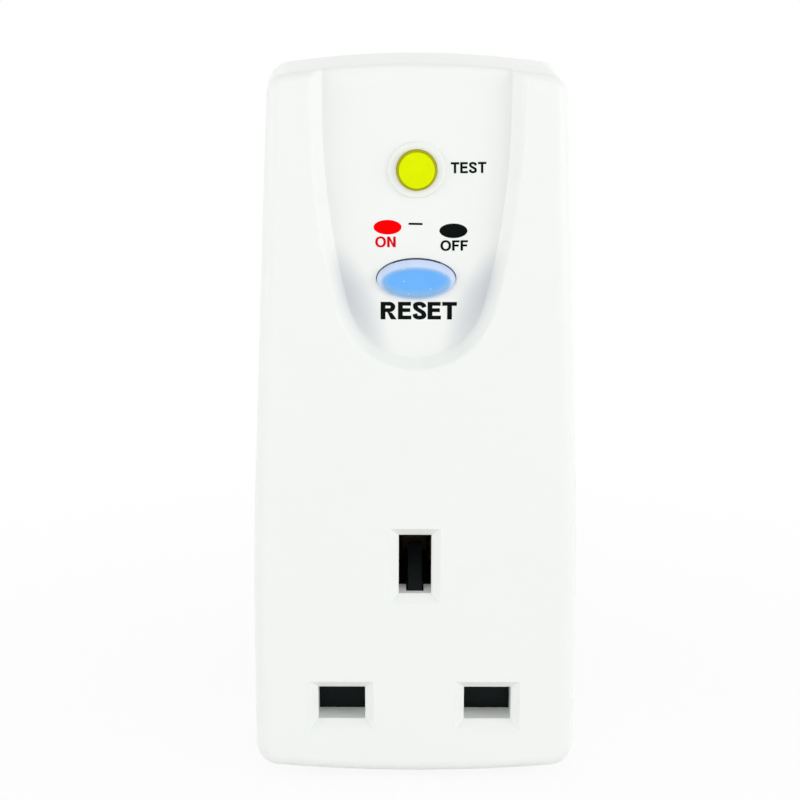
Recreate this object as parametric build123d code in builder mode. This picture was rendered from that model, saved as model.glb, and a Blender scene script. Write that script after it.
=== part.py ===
from build123d import *
import math
import os

# Plug-in adapter with a residual current device, in millimetres.
# X runs to the right as seen from the front, Z runs up, and Y runs from the front face to the wall outlet.
# The origin is on the plug face, midway between the line and neutral pins.

# Pins and apertures of the 13 A plug system
pin_spacing = 22.2
earth_rise = 22.2
flat_pin_width = 6.35
flat_pin_height = 4.0
flat_pin_length = 17.7
earth_pin_width = 4.0
earth_pin_height = 8.0
earth_pin_length = 22.7
pin_tip_bevel = 1.0
pin_edge_radius = 0.35
sleeve_length = 9.3
sleeve_wall = 0.6
sleeve_clearance = 0.05
pin_hole_clearance = 0.05
pin_root_height = 3.8
pin_root_overhang = 0.7
aperture_width = 7.15
aperture_height = 5.2
earth_aperture_width = 4.9
earth_aperture_height = 9.2
aperture_lead_in = 1.3
aperture_lead_in_angle = 45.0

# Case
case_depth = 34.0
base_depth = 14.0
case_half_width = 25.5
case_side_taper = 3.2
case_top_rise = 16.0
case_bottom = -12.5
waist_height = 24.0
waist_radius = 600.0
top_crown_radius = 135.0
bottom_crown_radius = 240.0
top_corner_radius = 4.0
bottom_corner_radius = 4.8
cover_draft = 4.0
base_draft = 1.5
face_edge_radius = 2.0
base_edge_radius = 1.2
wall = 2.2
front_wall = 2.4
rear_wall = 2.6
lip_height = 1.5
lip_clearance = 0.15
lip_step = 0.1
parting_bevel = 0.25

# Sunk control panel
rim_half_width = 15.0
rim_bottom_drop = 13.2
rim_bottom_radius = 11.7
rim_side_radius = 114.0
panel_depth = 2.2
panel_wall_run = 1.6
panel_end_radius = 1.2
rim_edge_radius = 0.6
panel_run_out = 10.0

# Buttons
mechanism_rise = 43.0
button_spacing = 15.6
test_button_radius = 2.7
test_button_proud = 1.0
test_button_bevel = 0.4
test_travel = 1.2
test_stem_radius = 1.1
test_stem_length = 5.2
test_collar_radius = 4.05
test_collar_height = 0.5
test_collar_draft = 20.0
reset_half_width = 5.55
reset_half_height = 2.75
reset_button_proud = 1.2
reset_button_bevel = 0.6
reset_shaft_radius = 1.5
reset_shaft_gap = 1.2
shaft_groove_depth = 0.5
shaft_groove_length = 0.9
shaft_tip_length = 0.9
button_clearance = 0.25
button_flange = 1.1
button_flange_thickness = 0.8
seat_gap = 0.3
spring_seat_gap = 0.12
weld = 0.5

# Shutter
tunnel_depth = 5.5
tunnel_wall = 1.2
shutter_gap = 0.2
shutter_thickness = 1.9
shutter_travel = 5.5
shutter_cover = 0.3
shutter_half_width = 15.3
shutter_stem_half_width = 3.4
shutter_shoulder_half_width = 6.4
shutter_shoulder_height = 13.0
ramp_width = 2.1
ramp_notch_width = 2.65
ramp_rise = 5.8
ramp_tip_drop = 0.3
ramp_tip_land = 0.7
ramp_root_height = 2.8
ramp_end_bevel = 0.6
ramp_foot = 0.5
ramp_slot_clearance = 1.0
spring_slot_half_width = 1.8
spring_slot_top = 8.0
shutter_spring_radius = 1.1
shutter_spring_wire = 0.35
shutter_spring_turns = 8
spring_lug_top = -7.6
spring_lug_half_width = 1.4
rail_top = 6.0
cover_post_x = 12.0
cover_post_height = 25.0
cover_post_half_width = 1.4

# Socket moulding and contacts
moulding_gap = 0.4
moulding_thickness = 1.6
pocket_wall = 1.2
pocket_rear = -10.6
pocket_half_width = 3.4
pocket_half_height = 3.7
earth_pocket_half_width = 4.4
earth_pocket_half_height = 5.0
pocket_skirt_height = 3.9
moulding_side_gap = 1.7
moulding_corner_radius = 2.0
moulding_bottom = -2.8
moulding_top = 28.5
moulding_hole_growth = 0.4
pillar_inset = 5.5
pillar_height = 12.0
pillar_half_width = 1.6
pillar_seat = -8.0
clip_width = 5.6
earth_clip_height = 6.0
clip_thickness = 0.8
clip_mouth_gap = 1.8
clip_pinch_reach = 3.1
clip_flare = 0.7
clip_rear = -8.2
clip_grip = 0.2
clip_bend_radius = 0.8
clip_tab_bottom = 1.4
clip_tab_top = 9.0
earth_link_width = 3.6

# Straps and board
strap_width = 2.4
strap_thickness = 1.0
strap_bend_radius = 2.0
strap_start_x = 8.4
strap_side_inset = 4.0
strap_core_x = 2.2
strap_core_room = 3.0
supply_strap_bend_drop = 4.5
supply_strap_inset = 3.0
supply_strap_overlap = 6.0
load_strap_top_gap = 0.3
load_strap_bend_rise = 1.5
load_strap_spread_drop = 9.0
load_strap_tab_lap = 2.0
barrier_thickness = 0.7
barrier_gap = 0.05
board_thickness = 1.6
board_rear = -7.4
board_drop = 15.2
board_rise = 4.6
board_side_gap = 5.3
board_corner_radius = 1.0
board_post_inset = 2.5
low_post_drop = 4.7
high_post_rise = 1.2
board_post_half_width = 1.5
board_peg_half_width = 0.65
board_peg_clearance = 0.15
board_peg_proud = 0.6

# Screws
low_screw_inset = 5.9
low_screw_rise = 5.6
high_screw_inset = 5.3
high_screw_drop = 6.8
screw_radius = 1.25
screw_head_radius = 2.6
screw_head_height = 2.0
screw_seat = -9.0
screw_length = 15.0
screw_hole_clearance = 0.3
screw_pilot_clearance = 0.12
screw_boss_radius = 3.2
screw_well_wall = 1.1
screw_tip_room = 1.0
screw_slot_width = 0.6
screw_slot_length = 2.8
screw_slot_depth = 1.0

# Current transformer
core_drop = 12.5
core_outer_radius = 6.75
core_inner_radius = 3.8
core_length = 6.0
core_gap = 0.1
winding_thickness = 0.7
winding_gap = 0.05
winding_sweep = 110.0
core_shelf_thickness = 1.8
core_shelf_width = 2.4
core_shelf_length = 9.2

# Insulating plate
plate_side_overhang = 1.6
plate_bottom = -6.0
plate_foot_half_width = 14.0
plate_shoulder = -2.2
plate_core_gap = 4.5
plate_earth_clearance = 0.4

# Parts soldered to the board
chip_rise = 7.8
chip_width = 9.6
chip_height = 6.2
chip_thickness = 3.0
chip_standoff = 0.4
chip_lead_reach = 3.8
chip_lead_pitch = 2.54
chip_lead_count = 4
chip_lead_width = 0.6
chip_lead_length = 1.5
chip_lead_height = 1.8
varistor_x = -10.6
varistor_y = -14.8
varistor_drop = 3.8
varistor_radius = 4.4
varistor_thickness = 3.2
varistor_bevel = 0.8
varistor_lead_x = 2.4
varistor_lead_radius = 0.35
varistor_lead_length = 3.0
capacitor_x = -10.0
capacitor_rise = 2.2
capacitor_width = 7.4
capacitor_height = 3.8
capacitor_length = 7.5
capacitor_bevel = 0.4
resistor_x = 14.9
resistor_rise = 3.8
resistor_radius = 1.0
resistor_length = 6.0
resistor_standoff = 1.6
resistor_lead_radius = 0.3

# Switching mechanism
frame_half_width = 13.5
frame_cheek = 1.5
frame_drop = 9.2
frame_rise = 9.3
frame_corner_radius = 1.0
frame_front = -21.5
carrier_half_width = 11.6
carrier_half_height = 4.8
carrier_rear = -11.6
carrier_thickness = 3.0
carrier_hub_radius = 3.5
carrier_hub_front = -17.0
carrier_travel = 2.2
shaft_clearance = 0.4
bar_x = 9.0
bar_half_length = 6.0
bar_width = 3.0
bar_thickness = 0.8
rivet_reach = 4.4
rivet_radius = 1.1
rivet_height = 0.6
contact_gap_closed = 0.2
terminal_thickness = 0.8
terminal_width = 2.4
terminal_reach = 8.6
terminal_arm = 5.6
latch_half_width = 3.0
latch_drop = 4.2
latch_rise = 8.8
latch_foot_drop = 3.6
latch_foot_half_width = 2.2
latch_foot_thickness = 1.0
latch_guide_clearance = 0.2
latch_guide_width = 1.0
latch_guide_length = 7.0
latch_guide_overhang = 0.3
latch_thickness = 0.8
latch_gap = 0.4
latch_travel = 1.2
latch_slot_half_width = 1.9
latch_spring_radius = 0.55
latch_spring_wire = 0.2
latch_spring_turns = 5
carrier_spring_x = 5.6
carrier_spring_radius = 1.3
carrier_spring_wire = 0.35
carrier_spring_turns = 3
reset_spring_radius = 2.3
reset_spring_wire = 0.5
reset_spring_turns = 4
solenoid_y = -13.0
solenoid_rise = 12.4
solenoid_length = 8.8
yoke_thickness = 0.8
yoke_half_width = 3.6
bobbin_radius = 3.8
bobbin_tube_radius = 2.4
bobbin_bore_radius = 1.8
plunger_radius = 1.5
bobbin_flange = 0.7
bobbin_room = 0.4
coil_inset = 0.3
plunger_tip_gap = 0.3
plunger_head_thickness = 0.6
plunger_head_radius = 2.3
plunger_spring_length = 3.0
plunger_spring_radius = 1.95
plunger_spring_wire = 0.3
plunger_spring_turns = 3
bent_metal_radius = 0.8
solder_gap = 0.2

# Test circuit
leaf_thickness = 0.4
leaf_width = 2.4
leaf_foot_x = 7.0
leaf_bend_run = 1.2
leaf_end_x = -2.6
test_terminal_thickness = 0.6
test_terminal_x = -5.4
test_terminal_end_x = -1.6

# Coils are drawn with straight runs
coil_runs_per_turn = 10

# Margin within which an edge or corner counts as being at a place
pick_margin = 0.1

# Places that follow from the sizes above
reset_height = earth_rise + mechanism_rise
test_height = reset_height + button_spacing
case_top = test_height + case_top_rise
case_top_half_width = case_half_width - case_side_taper
rim_bottom = reset_height - rim_bottom_drop
face = -case_depth
parting = -base_depth
panel_front = face + panel_depth
panel_back = panel_front + wall
wall_back = face + front_wall
tunnel_back = face + tunnel_depth
shutter_front = tunnel_back + shutter_gap
shutter_back = shutter_front + shutter_thickness
moulding_front = shutter_back + moulding_gap
moulding_back = moulding_front + moulding_thickness
rear_inner = -rear_wall
board_front = board_rear - board_thickness
pin_x = pin_spacing / 2
root_front = rear_inner - pin_root_height
shutter_half_height = aperture_height / 2 + shutter_cover
stem_top = earth_rise - earth_aperture_height / 2 - ramp_tip_drop
clip_base = clip_rear - clip_thickness
clip_mouth = moulding_back + clip_mouth_gap
clip_pinch = clip_mouth + clip_pinch_reach
moulding_half_width = case_half_width - wall - moulding_side_gap
pillar_x = case_half_width - pillar_inset
strap_side = pillar_x - strap_side_inset
board_half_width = case_top_half_width - board_side_gap
board_post_x = board_half_width - board_post_inset
board_bottom = reset_height - board_drop
board_top = test_height + board_rise
board_post_heights = (reset_height - low_post_drop, test_height + high_post_rise)
low_screw_x = case_half_width - low_screw_inset
low_screw_height = case_bottom + low_screw_rise
high_screw_x = case_top_half_width - high_screw_inset
high_screw_height = case_top - high_screw_drop
screw_places = [
    (-low_screw_x, low_screw_height),
    (low_screw_x, low_screw_height),
    (-high_screw_x, high_screw_height),
    (high_screw_x, high_screw_height),
]
core_height = board_bottom - core_drop
plate_top = core_height - plate_core_gap
frame_bottom = reset_height - frame_drop
frame_top = reset_height + frame_rise
latch_bottom = reset_height - latch_drop
latch_top = reset_height + latch_rise
latch_front = carrier_rear + latch_gap
latch_rear = latch_front + latch_thickness
reset_shaft_end = latch_front - reset_shaft_gap
solenoid_bottom = reset_height + solenoid_rise
plunger_tip = latch_top + plunger_tip_gap
carrier_front = carrier_rear - carrier_thickness
bar_front = carrier_front - bar_thickness
rivet_front = bar_front - rivet_height
terminal_front = rivet_front - carrier_travel - contact_gap_closed - terminal_thickness


def facing_front(y):
    """Plane at a depth y that looks out of the front face, with its own axes along X and Z."""
    return Plane.XZ.offset(-y)


def facing_wall(y):
    """Plane at a depth y that looks at the wall outlet, with its own axes along minus X and Z."""
    return Plane(origin=(0, y, 0), x_dir=(-1, 0, 0), z_dir=(0, 1, 0))


def crown_height(radius, x):
    """Drop of a crowned end at a distance x from the centre line."""
    return radius - math.sqrt(radius**2 - x**2)


def case_outline(plane, inset=0.0):
    """Outline of the case at the parting plane: crowned ends, parallel sides that taper above a soft waist."""
    low = case_bottom + crown_height(bottom_crown_radius, case_half_width)
    high = case_top - crown_height(top_crown_radius, case_top_half_width)
    with BuildSketch(plane) as outline:
        with BuildLine():
            ThreePointArc((-case_half_width, low), (0, case_bottom), (case_half_width, low))
            Line((case_half_width, low), (case_half_width, waist_height))
            Line((case_half_width, waist_height), (case_top_half_width, high))
            ThreePointArc((case_top_half_width, high), (0, case_top), (-case_top_half_width, high))
            Line((-case_top_half_width, high), (-case_half_width, waist_height))
            Line((-case_half_width, waist_height), (-case_half_width, low))
        make_face()
        fillet(outline.vertices().group_by(Axis.Y)[0], bottom_corner_radius)
        fillet(outline.vertices().group_by(Axis.Y)[-1], top_corner_radius)
        waist = outline.vertices().filter_by(lambda v: abs(v.Y - waist_height) < pick_margin)
        fillet(waist, waist_radius)
        if inset:
            offset(amount=-inset, kind=Kind.INTERSECTION)
    return outline.sketch


def panel_outline(plane, inset=0.0):
    """Tongue shape of the sunk panel, open past the top of the case, drawn an inset inside the rim."""
    half_width = rim_half_width - inset
    bottom_radius = rim_bottom_radius - inset
    side_radius = rim_side_radius - inset
    bottom = rim_bottom + inset
    centre_height = bottom + bottom_radius
    span = side_radius - bottom_radius
    side_centre_x = half_width - side_radius
    side_centre_z = centre_height + math.sqrt(span**2 - side_centre_x**2)
    joint_x = -side_centre_x / span * bottom_radius
    joint_z = centre_height - (side_centre_z - centre_height) / span * bottom_radius
    over_top = case_top + panel_run_out
    with BuildSketch(plane) as outline:
        with BuildLine():
            Line((half_width, over_top), (half_width, side_centre_z))
            TangentArc((half_width, side_centre_z), (joint_x, joint_z), tangent=(0, -1))
            ThreePointArc((joint_x, joint_z), (0, bottom), (-joint_x, joint_z))
            TangentArc((-half_width, side_centre_z), (-joint_x, joint_z), tangent=(0, -1))
            Line((-half_width, side_centre_z), (-half_width, over_top))
            Line((-half_width, over_top), (half_width, over_top))
        make_face()
    return outline.sketch


def coil_spring(foot, mean_radius, wire, turns, length):
    """Compression spring of square wire that stands on a plane, between its two seats."""
    height = length - wire - 2 * spring_seat_gap
    runs = turns * coil_runs_per_turn
    route = []
    for step in range(runs + 1):
        angle = 2 * math.pi * step / coil_runs_per_turn
        rise = wire / 2 + spring_seat_gap + height * step / runs
        across = mean_radius * math.cos(angle)
        along = mean_radius * math.sin(angle)
        route.append(foot.from_local_coords((across, along, rise)))
    with BuildPart() as spring:
        with BuildLine():
            path = Polyline(*route)
        with BuildSketch(Plane(origin=path @ 0, z_dir=path % 0, x_dir=foot.z_dir)):
            Rectangle(wire, wire)
        sweep(path=path, transition=Transition.RIGHT)
    return spring


def flat_strap(points, rear_y):
    """Stamped strap that follows a route in the XZ plane."""
    with BuildPart() as strap:
        with BuildSketch(facing_front(rear_y)):
            with BuildLine():
                FilletPolyline(*points, radius=strap_bend_radius)
            trace(line_width=strap_width)
        extrude(amount=strap_thickness)
    return strap


# Strip that rounds off the sunk panel where it runs out at the top of the case
with BuildPart(mode=Mode.PRIVATE) as panel_end:
    panel_end_outline = panel_outline(facing_front(panel_front + panel_end_radius), inset=panel_wall_run)
    extrude(panel_end_outline, amount=panel_end_radius)
    with BuildPart(mode=Mode.PRIVATE) as rounded_case:
        extrude(case_outline(facing_front(parting)), amount=parting - panel_front, taper=cover_draft)
        fillet(rounded_case.faces().sort_by(Axis.Y)[0].edges(), radius=panel_end_radius)
    add(rounded_case.part, mode=Mode.SUBTRACT)

# Front cover: drafted shell with a sunk panel, a collar, three socket tunnels and four screw bosses
with BuildPart() as front_cover:
    extrude(case_outline(facing_front(parting)), amount=case_depth - base_depth, taper=cover_draft)
    fillet(front_cover.faces().sort_by(Axis.Y)[0].edges(), radius=face_edge_radius)
    cavity_depth = case_depth - base_depth - front_wall
    extrude(
        case_outline(facing_front(parting), inset=wall),
        amount=cavity_depth,
        taper=cover_draft,
        mode=Mode.SUBTRACT,
    )
    # Wall behind the sunk panel
    with BuildSketch(facing_front(panel_back)):
        add(case_outline(facing_front(panel_back), inset=wall))
        add(panel_outline(facing_front(panel_back), inset=-wall), mode=Mode.INTERSECT)
    extrude(amount=panel_back - panel_front)
    panel_draft = math.degrees(math.atan2(panel_wall_run, panel_depth))
    extrude(
        panel_outline(facing_wall(face)),
        amount=panel_depth,
        taper=panel_draft,
        mode=Mode.SUBTRACT,
    )
    face_edges = front_cover.faces().sort_by(Axis.Y)[0].edges()
    rim_edges = face_edges.filter_by(lambda e: abs(e.center().X) < rim_half_width + pick_margin)
    fillet(rim_edges.filter_by(lambda e: e.center().Z > rim_bottom - pick_margin), radius=rim_edge_radius)
    add(panel_end.part, mode=Mode.SUBTRACT)
    # Screw bosses
    with BuildSketch(facing_front(parting)):
        with Locations(*screw_places):
            Circle(screw_boss_radius)
    extrude(amount=cavity_depth + weld)
    with BuildSketch(facing_front(parting)):
        with Locations(*screw_places):
            Circle(screw_radius + screw_pilot_clearance)
    extrude(amount=screw_length - screw_seat - base_depth + screw_tip_room, mode=Mode.SUBTRACT)
    # Rebate for the lip of the rear base
    with BuildSketch(facing_front(parting)):
        add(case_outline(facing_front(parting), inset=wall / 2))
        add(case_outline(facing_front(parting), inset=wall + lip_clearance), mode=Mode.SUBTRACT)
    extrude(amount=lip_height + lip_clearance, mode=Mode.SUBTRACT)
    # Tunnels behind the apertures, rails and spring lug for the shutter
    with BuildSketch(facing_front(tunnel_back)):
        with Locations((-pin_x, 0), (pin_x, 0)):
            Rectangle(aperture_width + 2 * tunnel_wall, aperture_height + 2 * tunnel_wall)
        with Locations((0, earth_rise)):
            Rectangle(earth_aperture_width + 2 * tunnel_wall, earth_aperture_height + 2 * tunnel_wall)
    extrude(amount=tunnel_back - wall_back + weld)
    rail_x = shutter_half_width + seat_gap + tunnel_wall / 2
    rail_middle = (rail_top - shutter_half_height) / 2
    with BuildSketch(facing_front(moulding_front)):
        with Locations((-rail_x, rail_middle), (rail_x, rail_middle)):
            Rectangle(tunnel_wall, rail_top + shutter_half_height)
        with Locations((-cover_post_x, cover_post_height), (cover_post_x, cover_post_height)):
            Rectangle(2 * cover_post_half_width, 2 * cover_post_half_width)
    extrude(amount=moulding_front - wall_back + weld)
    lug_bottom = case_bottom + wall / 2
    with BuildSketch(facing_front(shutter_back)):
        with Locations((0, (spring_lug_top + lug_bottom) / 2)):
            Rectangle(2 * spring_lug_half_width, spring_lug_top - lug_bottom)
    extrude(amount=shutter_back - wall_back + weld)
    # Apertures, with bevelled lead-ins, and the notch that the ramp rib runs in
    with BuildSketch(facing_wall(face)):
        with Locations((-pin_x, 0), (pin_x, 0)):
            Rectangle(aperture_width, aperture_height)
        with Locations((0, earth_rise)):
            Rectangle(earth_aperture_width, earth_aperture_height)
    extrude(amount=tunnel_depth, mode=Mode.SUBTRACT)
    with BuildSketch(facing_wall(face)):
        with Locations((-pin_x, 0), (pin_x, 0)):
            Rectangle(aperture_width + 2 * aperture_lead_in, aperture_height + 2 * aperture_lead_in)
        with Locations((0, earth_rise)):
            Rectangle(
                earth_aperture_width + 2 * aperture_lead_in,
                earth_aperture_height + 2 * aperture_lead_in,
            )
    extrude(amount=aperture_lead_in, taper=aperture_lead_in_angle, mode=Mode.SUBTRACT)
    with BuildSketch(facing_wall(wall_back)):
        with Locations((0, earth_rise - earth_aperture_height / 2)):
            Rectangle(ramp_notch_width, 2 * tunnel_wall + weld)
    extrude(amount=tunnel_back - wall_back, mode=Mode.SUBTRACT)
    # Collar and hole of the test button, hole of the reset button
    with BuildSketch(facing_front(panel_front)):
        with Locations((0, test_height)):
            Circle(test_collar_radius)
    extrude(amount=test_collar_height, taper=test_collar_draft)
    with BuildSketch(facing_front(panel_back)):
        with Locations((0, test_height)):
            Circle(test_button_radius + button_clearance)
        with Locations((0, reset_height)):
            Ellipse(reset_half_width + button_clearance, reset_half_height + button_clearance)
    extrude(amount=wall + test_collar_height, mode=Mode.SUBTRACT)

# Rear base: drafted tray with the pin holes, screw wells, posts for the board and shelves for the core
with BuildPart() as rear_base:
    extrude(case_outline(facing_wall(parting)), amount=base_depth, taper=base_draft)
    fillet(rear_base.faces().sort_by(Axis.Y)[-1].edges(), radius=base_edge_radius)
    chamfer(rear_base.faces().sort_by(Axis.Y)[0].edges(), length=parting_bevel)
    extrude(
        case_outline(facing_wall(parting), inset=wall),
        amount=base_depth - rear_wall,
        taper=base_draft,
        mode=Mode.SUBTRACT,
    )
    # Lip that locates the front cover
    with BuildSketch(facing_front(parting)):
        add(case_outline(facing_front(parting), inset=wall / 2 + lip_clearance))
        add(case_outline(facing_front(parting), inset=wall - lip_step), mode=Mode.SUBTRACT)
    extrude(amount=lip_height)
    with BuildSketch(facing_front(rear_inner)):
        with Locations(*screw_places):
            Circle(screw_head_radius + screw_hole_clearance + screw_well_wall)
    extrude(amount=rear_inner - parting)
    with BuildSketch(facing_front(rear_inner)):
        with Locations((-pillar_x, pillar_height), (pillar_x, pillar_height)):
            Rectangle(2 * pillar_half_width, 2 * pillar_half_width)
    extrude(amount=rear_inner - pillar_seat)
    board_posts = [(side * board_post_x, height) for side in (-1, 1) for height in board_post_heights]
    with BuildSketch(facing_front(rear_inner)):
        with Locations(*board_posts):
            Rectangle(2 * board_post_half_width, 2 * board_post_half_width)
    extrude(amount=rear_inner - board_rear)
    with BuildSketch(facing_front(board_rear)):
        with Locations(*board_posts):
            Rectangle(2 * board_peg_half_width, 2 * board_peg_half_width)
    extrude(amount=board_thickness + board_peg_proud)
    shelf_x = core_outer_radius - core_shelf_width / 2
    shelf_height = core_height - core_gap - core_shelf_thickness / 2
    with BuildSketch(facing_front(rear_inner)):
        with Locations((-shelf_x, shelf_height), (shelf_x, shelf_height)):
            Rectangle(core_shelf_width, core_shelf_thickness)
    extrude(amount=core_shelf_length)
    # Screw wells from the rear
    with BuildSketch(facing_front(0)):
        with Locations(*screw_places):
            Circle(screw_head_radius + screw_hole_clearance)
    extrude(amount=-screw_seat, mode=Mode.SUBTRACT)
    with BuildSketch(facing_front(0)):
        with Locations(*screw_places):
            Circle(screw_radius + screw_hole_clearance)
    extrude(amount=base_depth, mode=Mode.SUBTRACT)
    # Pin holes
    with BuildSketch(facing_front(0)):
        with Locations((-pin_x, 0), (pin_x, 0)):
            Rectangle(flat_pin_width + 2 * pin_hole_clearance, flat_pin_height + 2 * pin_hole_clearance)
        with Locations((0, earth_rise)):
            Rectangle(earth_pin_width + 2 * pin_hole_clearance, earth_pin_height + 2 * pin_hole_clearance)
    extrude(amount=rear_wall, mode=Mode.SUBTRACT)


# Plug pins: rectangular brass bars with a root block behind the rear wall
def flat_pin(x):
    """Line or neutral pin, necked where the insulating sleeve lies."""
    neck_width = flat_pin_width - 2 * sleeve_wall
    neck_height = flat_pin_height - 2 * sleeve_wall
    with BuildPart() as pin:
        with BuildSketch(facing_wall(root_front)):
            with Locations((-x, 0)):
                Rectangle(flat_pin_width + 2 * pin_root_overhang, flat_pin_height + 2 * pin_root_overhang)
        extrude(amount=pin_root_height)
        with BuildSketch(facing_wall(rear_inner)):
            with Locations((-x, 0)):
                Rectangle(neck_width, neck_height)
        extrude(amount=rear_wall + sleeve_length)
        with BuildSketch(facing_wall(sleeve_length)):
            with Locations((-x, 0)):
                Rectangle(flat_pin_width, flat_pin_height)
        extrude(amount=flat_pin_length - sleeve_length)
        chamfer(pin.faces().sort_by(Axis.Y)[-1].edges(), length=pin_tip_bevel)
        long_edges = pin.edges().filter_by(Axis.Y).sort_by(Axis.Y)[-4:]
        fillet(long_edges, radius=pin_edge_radius)
    return pin


def pin_sleeve(x):
    """Insulating sleeve that fills the neck of a line or neutral pin."""
    with BuildPart() as sleeve:
        with BuildSketch(facing_wall(rear_inner)):
            with Locations((-x, 0)):
                RectangleRounded(flat_pin_width, flat_pin_height, pin_edge_radius)
                Rectangle(
                    flat_pin_width - 2 * sleeve_wall + 2 * sleeve_clearance,
                    flat_pin_height - 2 * sleeve_wall + 2 * sleeve_clearance,
                    mode=Mode.SUBTRACT,
                )
        extrude(amount=rear_wall + sleeve_length)
    return sleeve


live_pin = flat_pin(pin_x)
neutral_pin = flat_pin(-pin_x)
live_pin_sleeve = pin_sleeve(pin_x)
neutral_pin_sleeve = pin_sleeve(-pin_x)

with BuildPart() as earth_pin:
    with BuildSketch(facing_wall(root_front)):
        with Locations((0, earth_rise)):
            Rectangle(earth_pin_width + 2 * pin_root_overhang, earth_pin_height + 2 * pin_root_overhang)
    extrude(amount=pin_root_height)
    with BuildSketch(facing_wall(rear_inner)):
        with Locations((0, earth_rise)):
            Rectangle(earth_pin_width, earth_pin_height)
    extrude(amount=rear_wall + earth_pin_length)
    chamfer(earth_pin.faces().sort_by(Axis.Y)[-1].edges(), length=pin_tip_bevel)
    fillet(earth_pin.edges().filter_by(Axis.Y).sort_by(Axis.Y)[-4:], radius=pin_edge_radius)

# Test button: bevelled disc on a flanged stem
with BuildPart() as test_button:
    test_front = panel_front - test_collar_height - test_button_proud
    test_flange_front = panel_back + seat_gap
    test_flange_back = test_flange_front + button_flange_thickness
    test_stem_end = test_flange_back + test_stem_length
    with BuildSketch(facing_front(test_flange_back)):
        with Locations((0, test_height)):
            Circle(test_button_radius + button_flange)
    extrude(amount=button_flange_thickness)
    with BuildSketch(facing_front(test_flange_front)):
        with Locations((0, test_height)):
            Circle(test_button_radius)
    extrude(amount=test_flange_front - test_front)
    chamfer(test_button.faces().sort_by(Axis.Y)[0].edges(), length=test_button_bevel)
    with BuildSketch(facing_wall(test_flange_back)):
        with Locations((0, test_height)):
            Circle(test_stem_radius)
    extrude(amount=test_stem_length)

# Reset button: bevelled oval on a flange, with the grooved shaft that the latch plate catches
with BuildPart() as reset_button:
    reset_front = panel_front - reset_button_proud
    reset_flange_front = panel_back + seat_gap
    reset_flange_back = reset_flange_front + button_flange_thickness
    with BuildSketch(facing_front(reset_flange_back)):
        with Locations((0, reset_height)):
            Ellipse(reset_half_width + button_flange, reset_half_height + button_flange)
    extrude(amount=button_flange_thickness)
    with BuildSketch(facing_front(reset_flange_front)):
        with Locations((0, reset_height)):
            Ellipse(reset_half_width, reset_half_height)
    extrude(amount=reset_flange_front - reset_front)
    chamfer(reset_button.faces().sort_by(Axis.Y)[0].edges(), length=reset_button_bevel)
    groove_front = reset_shaft_end - shaft_tip_length - shaft_groove_length
    groove_rear = reset_shaft_end - shaft_tip_length
    groove_radius = reset_shaft_radius - shaft_groove_depth
    shaft_axis = Plane(origin=(0, 0, reset_height), x_dir=(0, 0, 1), z_dir=(-1, 0, 0))
    with BuildSketch(shaft_axis):
        with BuildLine():
            Polyline(
                (0, reset_flange_back),
                (reset_shaft_radius, reset_flange_back),
                (reset_shaft_radius, groove_front),
                (groove_radius, groove_front),
                (groove_radius, groove_rear),
                (reset_shaft_radius, groove_rear),
                (groove_radius, reset_shaft_end),
                (0, reset_shaft_end),
                close=True,
            )
        make_face()
    revolve(axis=Axis((0, 0, reset_height), (0, 1, 0)))

# Shutter: cranked plate whose wings close the flat apertures and whose ramp meets the earth pin
with BuildPart() as shutter:
    with BuildSketch(facing_front(shutter_back)):
        Rectangle(2 * shutter_half_width, 2 * shutter_half_height)
        with Locations((0, shutter_shoulder_height / 2)):
            Rectangle(2 * shutter_shoulder_half_width, shutter_shoulder_height)
        with Locations((0, stem_top / 2)):
            Rectangle(2 * shutter_stem_half_width, stem_top)
        slot_height = spring_slot_top + shutter_half_height
        with Locations((0, spring_slot_top - slot_height / 2)):
            Rectangle(2 * spring_slot_half_width, slot_height, mode=Mode.SUBTRACT)
    extrude(amount=shutter_thickness)
    ramp_tip = wall_back + seat_gap
    ramp_rear = moulding_back - shutter_gap
    ramp_base = shutter_shoulder_height - ramp_foot
    with BuildSketch(Plane.YZ.offset(-ramp_width / 2)):
        with BuildLine():
            Polyline(
                (ramp_tip, stem_top),
                (ramp_rear - ramp_end_bevel, stem_top + ramp_rise),
                (ramp_rear, stem_top + ramp_rise),
                (ramp_rear, ramp_base),
                (shutter_front, ramp_base),
                (shutter_front, stem_top - ramp_root_height),
                (ramp_tip, stem_top - ramp_tip_land),
                close=True,
            )
        make_face()
    extrude(amount=ramp_width)

shutter_spring = coil_spring(
    Plane(origin=(0, (shutter_front + shutter_back) / 2, spring_lug_top)),
    shutter_spring_radius,
    shutter_spring_wire,
    shutter_spring_turns,
    spring_slot_top - spring_lug_top,
)

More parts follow.
